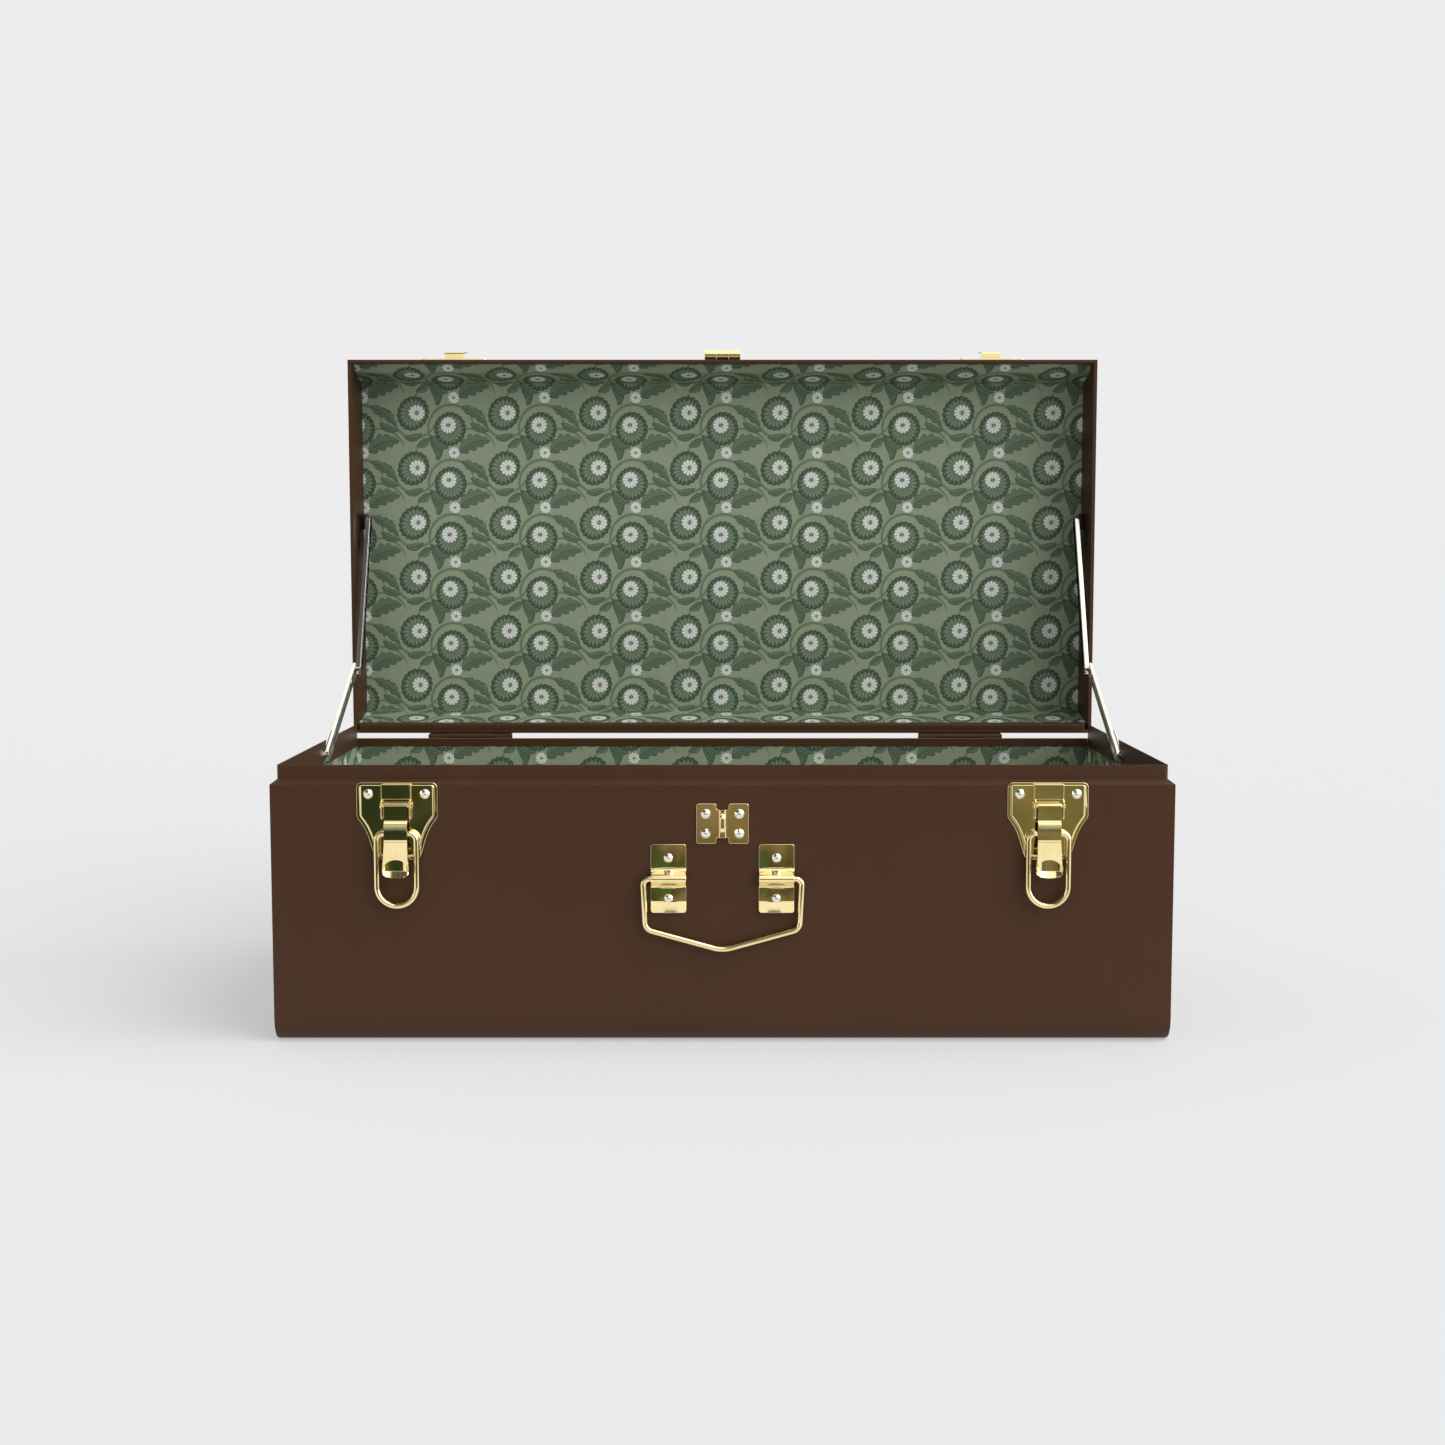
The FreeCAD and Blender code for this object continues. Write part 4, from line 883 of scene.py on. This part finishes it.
# Places on the lever, in metres: distance out from the wall and drop below its pivot, up its folded neck.
LEVER_NECK = ((0.0120, 0.0284), (0.0121, 0.0205), (0.0117, 0.0149), (0.0090, 0.0123))
LEVER_NECK_HALF, LEVER_FACE_HALF = 0.0097, 0.0107
LEVER_FACE_DROP, LEVER_ARCH_DROP, LEVER_FOOT_DROP = 0.0297, 0.0445, 0.0540
LEVER_SCOOP = 0.0034  # depth of the thumb scoop
WALL_Y = -0.190  # front of the body
STRAP_FOOT_Z, STRAP_Y = 0.2089, -0.1967  # underside and front of the bracket's strap


def latch_outline(top_z, y, corner=4.6):
    """Corner points of the latch plate, square at the top and drawn in to a narrow foot."""
    wide = PLATE_SIDE[0][0]
    turns = [math.radians(t) for t in (0.0, 22.5, 45.0, 67.5, 90.0)]
    right = [(wide - corner + corner * math.sin(t), corner - corner * math.cos(t)) for t in turns]
    right += PLATE_SIDE
    left = [(-x, d) for x, d in reversed(right)]
    return [Vector((x * MM, y, top_z - d * MM)) for x, d in right + left]


class FootlockerLatch(bpy.types.PropertyGroup):
    flange: length("Flange", "Flat rim outside the plate's raised middle", 0.0026)
    rim: length("Rim", "Thickness of the plate's rim", 0.0009)
    slope: length("Slope", "Width of the step up to the raised middle", 0.0013)
    sheet: length("Sheet", "Thickness of the latch's sheet", 0.0012)
    edge: length("Edge", "Rounding of the latch's edges", 0.0005)


class FOOTLOCKER_OT_latch_plates(Step, bpy.types.Operator):
    """Press the two latch plates: a flat flange, then a bevelled step up to a mirror-flat middle"""

    bl_idname = "footlocker.latch_plates"
    bl_label = "Latch Plates"

    def execute(self, context):
        sizes = settings("latch")
        low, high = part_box("latch_plate_left")
        obj = outline_sheet(latch_outline(high.z, high.y))
        pick(obj, "faces", lambda f: True)
        extrude(0.0, -sizes.rim, 0.0)
        rings = [self.picked(obj)]
        for thickness in (sizes.flange, sizes.slope):
            bpy.ops.mesh.inset(thickness=thickness, depth=0.0, use_even_offset=True)
            rings.append(self.picked(obj))
        move(0.0, low.y - high.y + sizes.rim, 0.0)
        pick(obj, "verts", lambda v: v.index in rings[1] | rings[2] and v.co.z > high.z - 0.0090)
        move(0.0, 0.0, sizes.flange - 0.0006)
        pick(obj, "edges", lambda e: any(all(v.index in ring for v in e.verts) for ring in rings))
        bevel(0.0006, 3)
        finish_edit()
        outward(obj)
        softened(obj, sizes.edge, 3, 60.0)
        paired(obj, "latch_plate_pressed_", "latch_plate_")
        return {"FINISHED"}

    def picked(self, obj):
        """The indices of the picked vertices."""
        return {v.index for v in bmesh.from_edit_mesh(obj.data).verts if v.select}


class FOOTLOCKER_OT_latch_levers(Step, bpy.types.Operator):
    """Fold the two latch levers: rolled knuckle, stepped neck, broad face and a scooped thumb end with a lip"""

    bl_idname = "footlocker.latch_levers"
    bl_label = "Latch Levers"

    def execute(self, context):
        sizes = settings("latch")
        _, pivot_y, pivot_z = pivot("latch_lever_left")
        neck, cheek = LEVER_NECK_HALF, LEVER_FACE_HALF
        top_z = pivot_z - LEVER_FACE_DROP
        arch_top, arch_foot = pivot_z - LEVER_ARCH_DROP, pivot_z - LEVER_FOOT_DROP
        steps = 12

        def out(z):
            """Y of the leaning face."""
            return WALL_Y - (0.0116 + (top_z - z) / 0.0282 * 0.0042)

        clear_selection()
        bpy.ops.mesh.primitive_grid_add(x_subdivisions=steps, y_subdivisions=1, size=1.0)
        obj = context.object

        def fanned(co):
            turn = math.pi * (0.5 - co.x)
            if co.y > 0.0:
                return (neck * math.cos(turn), out(top_z), top_z)
            z = arch_foot + (arch_top - arch_foot) * max(0.0, math.sin(turn)) ** 0.8
            return (cheek * math.cos(turn) * 0.985, out(z), z)

        edit(obj)
        placed_one_by_one(obj, range(2 * (steps + 1)), fanned)
        pick_edges(obj, lambda v: v.co.z <= arch_top + 1e-6)
        deep = out(arch_foot) + LEVER_SCOOP

        def side_share(co):
            return min(1.0, abs(co.x) / cheek) ** 6

        def stepped_in(co):
            back = deep + (out(co.z) - deep) * side_share(co)
            return (co.x * 0.97, back, co.z - 0.0002)

        def dished(co):
            back = deep + (out(arch_foot) - deep) * side_share(co)
            return (co.x, back, arch_foot - 0.0004)

        def lipped(co):
            bow = math.sqrt(max(0.0, 1.0 - (co.x / (cheek * 1.02)) ** 2))
            return (co.x, out(arch_foot) - 0.0002 * bow, arch_foot - 0.0006 - 0.0051 * bow)

        for place in (stepped_in, dished, lipped):
            extrude(0.0, 0.0, -0.0001)
            rim = [v.index for v in bmesh.from_edit_mesh(obj.data).verts if v.select]
            placed_one_by_one(obj, rim, place)
            pick_edges(obj, lambda v: v.index in rim)
            if place is dished:
                crease = set(rim)
        pick_edges(obj, lambda v: abs(v.co.z - top_z) < 1e-6)
        profile = [(WALL_Y - stand, pivot_z - drop) for stand, drop in LEVER_NECK]
        folds = [top_z] + [z for _, z in profile]
        profile += arc(pivot_y, pivot_z, 0.0025, 0.0, 200.0, 10)
        here = (out(top_z), top_z)
        for there in profile:
            extrude(0.0, there[0] - here[0], there[1] - here[1])
            here = there

        def folded(edge):
            level = any(all(abs(v.co.z - z) < 1e-6 for v in edge.verts) for z in folds)
            return level or all(v.index in crease for v in edge.verts)

        pick(obj, "edges", folded)
        bevel(0.0004, 2)
        finish_edit()
        recalculated(obj)
        face_front(obj, Vector((0.0, -1.0, 0.0)))
        thickened(obj, sizes.sheet)
        softened(obj, sizes.edge * 0.8, 2, 35.0)
        paired(obj, "latch_lever_folded_", "latch_lever_", "lever_SIDE", lambda joint: pivot(joint).x)
        return {"FINISHED"}


class FOOTLOCKER_OT_latch_brackets(Step, bpy.types.Operator):
    """Form the two raised brackets that carry the levers' pins, each with two ears"""

    bl_idname = "footlocker.latch_brackets"
    bl_label = "Latch Brackets"

    def execute(self, context):
        sizes = settings("latch")
        low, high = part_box("latch_bracket_left")
        half = (high.x - low.x) / 2
        foot_z, strap_y = STRAP_FOOT_Z, STRAP_Y
        obj = block((-half, strap_y, foot_z), (half, high.y, high.z))
        sliced((sizes.sheet - half, half - sizes.sheet))
        pick(obj, "faces", lambda f: f.normal.z < -0.9 and abs(f.calc_center_median().x) > half - sizes.sheet)
        extrude(0.0, 0.0, -0.0016)
        extrude(0.0, 0.0, low.z - foot_z + 0.0016)
        pick(obj, "verts", lambda v: v.co.z < foot_z - 1e-4 and v.co.y < strap_y + 1e-6)
        move(0.0, low.y - strap_y, 0.0)
        pick_edges(obj, lambda v: abs(v.co.z - low.z) < NEAR, "x")
        bevel((high.y - low.y) * 0.42, 5)
        finish_edit()
        outward(obj)
        softened(obj, sizes.edge * 0.9, 3, 40.0)
        paired(obj, "latch_bracket_formed_", "latch_bracket_")
        return {"FINISHED"}


# ---- handle and staple
class FOOTLOCKER_OT_handle_clips(Step, bpy.types.Operator):
    """Roll the two handle clips: crowned upper leaf, roll over the bail, lower leaf with its foot kicked out"""

    bl_idname = "footlocker.handle_clips"
    bl_label = "Handle Clips"

    def execute(self, context):
        _, axis_y, axis_z = pivot("handle_swing")
        low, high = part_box("handle_clip_left")
        half, sheet, wire = (high.x - low.x) / 2, 0.0012, 0.0025
        flat = high.y - sheet - 0.0002
        profile = [(flat, high.z), (flat, axis_z + 0.0088), (flat, axis_z + 0.0080), (flat - 0.0006, axis_z + 0.0066)]
        profile += arc(axis_y, axis_z, wire + 0.0001 + sheet, 78.0, -78.0, 12)
        profile += [(flat - 0.0006, axis_z - 0.0062), (flat, axis_z - 0.0074), (flat, axis_z - 0.0082)]
        profile += [(flat, low.z + 0.0102), (flat - 0.0005, low.z + 0.0088), (flat - 0.0022, low.z)]
        obj = rolled_strip(profile, half)
        edit(obj)
        sliced([x * half for x in (-0.72, -0.42, 0.0, 0.42, 0.72)])
        crown = ((0.0003, 0.73), (0.0003, 0.43), (0.0002, 0.01))  # rise, and how far out it reaches
        for lift, reach in crown:
            inside = reach * half + NEAR
            pick(obj, "verts", lambda v: abs(v.co.x) <= inside and not -0.0078 <= v.co.z - axis_z <= 0.0082)
            move(0.0, -lift, 0.0)
        ends = (high.z, low.z)
        pick(obj, "verts", lambda v: half - abs(v.co.x) < NEAR and min(abs(v.co.z - z) for z in ends) < NEAR)
        bevel(0.0022, 4, "VERTICES")
        finish_edit()
        recalculated(obj)
        face_front(obj, Vector((0.0, -1.0, 0.0)))
        thickened(obj, sheet)
        softened(obj, 0.00045, 3, 40.0)
        paired(obj, "handle_clip_rolled_", "handle_clip_")
        return {"FINISHED"}


class FOOTLOCKER_OT_staple(Step, bpy.types.Operator):
    """Press the hasp staple: two leaves, a drawn-in waist and a folded ear bored for a padlock"""

    bl_idname = "footlocker.staple"
    bl_label = "Hasp Staple"

    def execute(self, context):
        low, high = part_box("hasp_staple")
        eye = next(m for m in frame["record"]["mounts"] if m["name"] == "padlock_eye")
        eye_place = Vector(eye["pos_m"])
        middle = (low.z + high.z) / 2
        wall, sheet = high.y, 0.0013
        half, tall = (high.x - low.x) / 2, (high.z - low.z) / 2
        waist = ((0.0060, 0.0), (0.0052, 0.0012), (0.0050, 0.0046), (0.0030, 0.0052))  # half width and drop
        quarter = [(half, tall)] + [(x, tall - drop) for x, drop in waist]
        ring = quarter + [(-x, z) for x, z in reversed(quarter)]
        ring += [(-x, -z) for x, z in quarter] + [(x, -z) for x, z in reversed(quarter)]
        plate = outline_sheet([(x, wall, middle + z) for x, z in ring])
        pick(plate, "faces", lambda f: True)
        extrude(0.0, -sheet, 0.0)
        pick(plate, "edges", lambda e: spans(e, "y") and abs(abs(e.verts[0].co.x) - half) < NEAR)
        bevel(0.0018, 4)
        finish_edit()
        outward(plate)
        softened(plate, 0.0005, 3, 40.0)
        fold_half, ear_half = 0.0031, 0.0024
        ear_low, ear_high = eye_place.z - 0.009, eye_place.z + 0.009
        ear = block((-ear_half, low.y, ear_low), (ear_half, wall - 0.0004, ear_high))
        pick_edges(ear, lambda v: v.co.y < low.y + NEAR, "x")
        bevel(0.0055, 8)
        finish_edit()
        softened(ear, 0.0015, 4, 40.0)
        bored(ear, eye_place, eye["dims"]["r_mm"] * MM, 0.02, (0.0, math.pi / 2, 0.0))
        outward(ear)
        crest = wall - sheet - 0.0020
        fold = block((-fold_half, crest, middle - tall + 0.0052), (fold_half, crest + 0.0024, middle + tall - 0.0052))
        pick_edges(fold, lambda v: v.co.y < crest + NEAR, "z")
        bevel(0.0013, 5)
        finish_edit()
        softened(fold, 0.0003, 2, 40.0)
        settled(joined(plate, ear, fold), "hasp_staple_pressed", "brass", "body", "hasp_staple")
        return {"FINISHED"}


# ---- stamped pieces with eased edges
EASED = (
    # nodes, body, slot, easing in metres; SIDE stands for left and for right
    ("catch_plate_SIDE", "lid", "brass", 0.00035),
    ("hasp_leaf", "lid", "brass", 0.00035),
    ("hasp_strap", "hasp", "brass", 0.00040),
    ("stay_foot_plate_SIDE", "body", "nickel", 0.00030),
    ("stay_head_bracket_SIDE", "lid", "dark_steel", 0.00030),
    ("stay_lower_SIDE", "lower_stay_SIDE", "nickel", 0.00035),
    ("stay_upper_SIDE", "upper_stay_SIDE", "nickel", 0.00035),
)


def cad_copy(node):
    """A copy of a CAD node with its split corners merged, open for editing with everything selected."""
    clear_selection()
    copy = frame["nodes"][node].copy()
    copy.data = copy.data.copy()
    copy.parent = None
    copy.matrix_world.identity()
    bpy.context.collection.objects.link(copy)
    edit(copy)
    pick_all()
    bpy.ops.mesh.remove_doubles(threshold=1e-6)
    bpy.ops.mesh.customdata_custom_splitnormals_clear()
    return copy


class FOOTLOCKER_OT_stampings(Step, bpy.types.Operator):
    """Ease the edges of the catches, the hasp and the lid stays, as tumbling leaves a stamping"""

    bl_idname = "footlocker.stampings"
    bl_label = "Stampings"

    def execute(self, context):
        for nodes, body, slot, width in EASED:
            for node in sorted({nodes.replace("SIDE", side) for side in SIDES}):
                self.ease(node, body.replace("SIDE", node.split("_")[-1]), slot, width)
        self.trim_rivets("hinge_rivets_body")
        return {"FINISHED"}

    def ease(self, node, body, slot, width):
        """Merge, flatten and bevel a copy of a CAD node."""
        copy = cad_copy(node)
        bpy.ops.mesh.dissolve_limited(angle_limit=math.radians(0.6))
        if node.startswith("catch_plate"):
            self.flare(copy, node)
        finish_edit()
        softened(copy, width, 2, 40.0)
        settled(copy, node + "_eased", slot, body, node)

    def trim_rivets(self, node):
        """Trim a group of rivets where the lining paper covers their clinched tails."""
        _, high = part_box("body_lining")
        copy = cad_copy(node)
        pick_all()
        cut_y = high.y - settings("lining").paper * 0.5
        bpy.ops.mesh.bisect(
            plane_co=(0.0, cut_y, 0.0), plane_no=(0.0, -1.0, 0.0), use_fill=True, clear_outer=True
        )
        finish_edit()
        outward(copy)
        settled(copy, node + "_under_paper", "brown_paint", "body", node)

    def flare(self, copy, node):
        """Widen the catch's turned-up lip."""
        _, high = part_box(node)
        pick(copy, "verts", lambda v: v.co.z > high.z - 0.0013)
        bpy.ops.transform.resize(value=(1.30, 1.0, 1.0), center_override=(box_middle(node), high.y, high.z))


# ---- studio
# Painted reflections: dark mats drawn on the studio floor for glossy rays only, so that the brass mirrors them: left,
# right, near and far edges, darker and paler tone.
REFLECTED_MATS = (
    (0.25, 1.10, 0.9, 4.0, (0.14, 0.13, 0.06), (0.34, 0.30, 0.17)),
    (-0.22, 0.22, 1.25, 3.0, (0.20, 0.15, 0.09), (0.40, 0.33, 0.22)),
    (-0.22, -0.01, 0.7, 1.2, (0.05, 0.09, 0.025), (0.12, 0.19, 0.06)),
    (0.01, 0.22, 0.7, 1.0, (0.14, 0.11, 0.06), (0.24, 0.19, 0.11)),
    (0.01, 0.22, 1.12, 1.2, (0.14, 0.11, 0.06), (0.24, 0.19, 0.11)),
)


def floor_finish(tone, lift):
    """Matt pale sweep, lifted so that it stays pale, with painted reflections that only glossy rays see: dark mats in
    front and a brighter, glowing floor elsewhere, which polished metal mirrors.
    """
    material, tree, shader = new_finish()
    place = object_place(tree)
    cloud = noise(tree, place, 0.6, 2.0)
    even = mixed(tree, cloud * 0.02, tone, scaled(tone, 0.99))
    x, y, _ = split(tree, place)
    mat = inked(-(y + 0.80), 0.12) * inked(-(x.abs() - (y * -0.42 + 0.30)), 0.15)
    streaks = tree.nodes.new("ShaderNodeMapping")
    handed(tree, streaks, Vector=place, Scale=(11.0, 2.0, 1.0))
    patch = noise(tree, streaks.outputs[0], 1.0, 5.0, 0.6)
    streak = ((patch - 0.50) * 4.0).clamped()
    # Painted reflection: the streaked tones of the dark mats, seen only by glossy rays.
    painted_mat_reflection = mixed(tree, streak, (0.022, 0.034, 0.014), (0.10, 0.10, 0.045))
    for left, right, near, far, dark, pale in REFLECTED_MATS:
        inside = inked(-((x - (left + right) / 2).abs() - (right - left) / 2), 0.05)
        inside = inside * inked(-((y + (near + far) / 2).abs() - (far - near) / 2), 0.08)
        painted_mat_reflection = mixed(tree, inside, painted_mat_reflection, mixed(tree, streak, dark, pale))
    # Painted reflection: glossy rays see the floor 1.6 times as bright and glowing outside the mats and dark inside
    # them, while other rays see the even pale floor.
    mirrored = mixed(tree, mat, scaled(tone, 1.6), painted_mat_reflection)
    glossy = tree.nodes.new("ShaderNodeLightPath").outputs["Is Glossy Ray"]
    painted_reflection_glow = mixed(tree, mat, (0.7,) * 3, (0.0,) * 3)
    handed(
        tree, shader, Base_Color=mixed(tree, glossy, even, mirrored),
        Emission_Color=mixed(tree, glossy, scaled(tone, 1 / tone[0]), painted_reflection_glow),
        Emission_Strength=lift, Roughness=1.0, Specular_IOR_Level=0.0,
    )
    return material


def bearings(tree):
    """The looking direction as a bearing from straight ahead of the trunk and a height, both in degrees."""
    place = tree.nodes.new("ShaderNodeTexCoord").outputs["Generated"]
    x, y, z = split(tree, place)
    across = x.math("ARCTAN2", -y) * (180 / math.pi)
    height = z.math("ARCSINE") * (180 / math.pi)
    return place, across, height


def panel_mask(across, height, bearing, lift, half_wide, half_tall, soft):
    """1 inside a soft-edged panel hung at a bearing and a height, in degrees."""
    wide = inked(-((across - bearing).abs() - half_wide), soft)
    tall = inked(-((height - lift).abs() - half_tall), soft)
    return wide * tall


# Painted reflections: dark screens in the world that only glossy rays see, standing for the far side of the studio as
# polished metal mirrors it: bearing, height, half width, half height, softness, colour.
REFLECTED_SCREENS = (
    (0.0, -8.0, 24.0, 9.0, 3.0, (0.030, 0.040, 0.020)),
    (0.0, 6.0, 4.5, 5.0, 0.8, (0.010, 0.012, 0.010)),
    (-48.0, 46.0, 43.0, 27.0, 8.0, (0.09, 0.085, 0.08)),
)


class FOOTLOCKER_OT_stage(Step, bpy.types.Operator):
    """Lay the pale sweep, light it evenly from above and the right, and set the camera"""

    bl_idname = "footlocker.stage"
    bl_label = "Studio"

    def execute(self, context):
        sizes = settings("stage")
        clear_selection()
        bpy.ops.mesh.primitive_circle_add(vertices=96, radius=150.0, fill_type="NGON", location=(0.0, 0.0, 0.0))
        floor = context.object
        floor.name = "studio_floor"
        floor.data.materials.append(floor_finish(tuple(settings("colours").floor), sizes.lift))
        self.sky(context, sizes)
        clear_selection()
        bpy.ops.object.light_add(type="SUN", location=(3.0, 0.0, 3.0))
        sun = context.object
        sun.name = "wide soft light"
        sun.data.energy = sizes.key
        sun.data.angle = sizes.key_spread
        toward = Vector((math.cos(sizes.key_height), -0.34, math.sin(sizes.key_height)))
        sun.rotation_euler = toward.to_track_quat("Z", "Y").to_euler()
        self.camera(context, sizes)
        context.scene.view_settings.view_transform = "Standard"
        return {"FINISHED"}

    def sky(self, context, sizes):
        world = bpy.data.worlds.new("studio light")
        world.use_nodes = True
        tree = world.node_tree
        background = tree.nodes["Background"]
        place, across, height = bearings(tree)
        # Painted reflection: glossy rays see a world that is darker below the horizon and brighter above, with the
        # dark screens, while other rays see the even sky and the camera sees the even backdrop.
        glow = (height / 60.0 + 0.5).clamped()
        painted_reflection_sky = mixed(tree, glow, (0.55, 0.55, 0.52), (1.25, 1.22, 1.16))
        cloud = noise(tree, place, 5.0, 4.0, 0.6)
        for bearing, lift, half_wide, half_tall, soft, tone in REFLECTED_SCREENS:
            mask = panel_mask(across, height, bearing, lift, half_wide, half_tall, soft)
            lit = mixed(tree, ((cloud - 0.45) * 4.0).clamped(), tone, scaled(tone, 2.0))
            painted_reflection_sky = mixed(tree, mask, painted_reflection_sky, lit)
        seen = tree.nodes.new("ShaderNodeLightPath")
        sky = mixed(tree, seen.outputs["Is Glossy Ray"], (sizes.sky,) * 3, painted_reflection_sky)
        handed(tree, background, Color=mixed(tree, seen.outputs["Is Camera Ray"], sky, settings("colours").backdrop))
        context.scene.world = world

    def camera(self, context, sizes):
        clear_selection()
        bpy.ops.object.camera_add(
            location=(0.0, -sizes.camera_back, sizes.camera_height), rotation=(sizes.camera_pitch, 0.0, 0.0)
        )
        camera = context.object
        camera.data.lens = sizes.lens
        camera.data.sensor_width = 36.0
        camera.data.clip_end = 400.0
        context.scene.camera = camera


# ---- panel and registration
class FOOTLOCKER_PT_panel(bpy.types.Panel):
    """Sidebar list of the footlocker's operators and settings"""

    bl_label = "Footlocker"
    bl_idname = "FOOTLOCKER_PT_panel"
    bl_space_type = "VIEW_3D"
    bl_region_type = "UI"
    bl_category = "Footlocker"

    def draw(self, context):
        for operator in OPERATORS:
            self.layout.operator(operator.bl_idname)
        for name in GROUPS:
            box = self.layout.box()
            box.label(text=name.title())
            for key in GROUPS[name].__annotations__:
                box.prop(settings(name), key)


GROUPS = {
    "colours": FootlockerColours,
    "print": FootlockerPrint,
    "lining": FootlockerLining,
    "latch": FootlockerLatch,
    "stage": FootlockerStage,
}
OPERATORS = (
    FOOTLOCKER_OT_finishes,
    FOOTLOCKER_OT_lid_lining,
    FOOTLOCKER_OT_body_lining,
    FOOTLOCKER_OT_latch_plates,
    FOOTLOCKER_OT_latch_brackets,
    FOOTLOCKER_OT_latch_levers,
    FOOTLOCKER_OT_handle_clips,
    FOOTLOCKER_OT_staple,
    FOOTLOCKER_OT_stampings,
    FOOTLOCKER_OT_stage,
)


def register():
    for cls in (*GROUPS.values(), *OPERATORS, FOOTLOCKER_PT_panel):
        bpy.utils.register_class(cls)
    for name, cls in GROUPS.items():
        setattr(bpy.types.Scene, "footlocker_" + name, PointerProperty(type=cls))


def unregister():
    for name in GROUPS:
        delattr(bpy.types.Scene, "footlocker_" + name)
    for cls in (FOOTLOCKER_PT_panel, *reversed(OPERATORS), *reversed(GROUPS.values())):
        bpy.utils.unregister_class(cls)


def main():
    register()
    for operator in OPERATORS:
        family, name = operator.bl_idname.split(".")
        getattr(getattr(bpy.ops, family), name)()


if __name__ == "__main__":
    main()
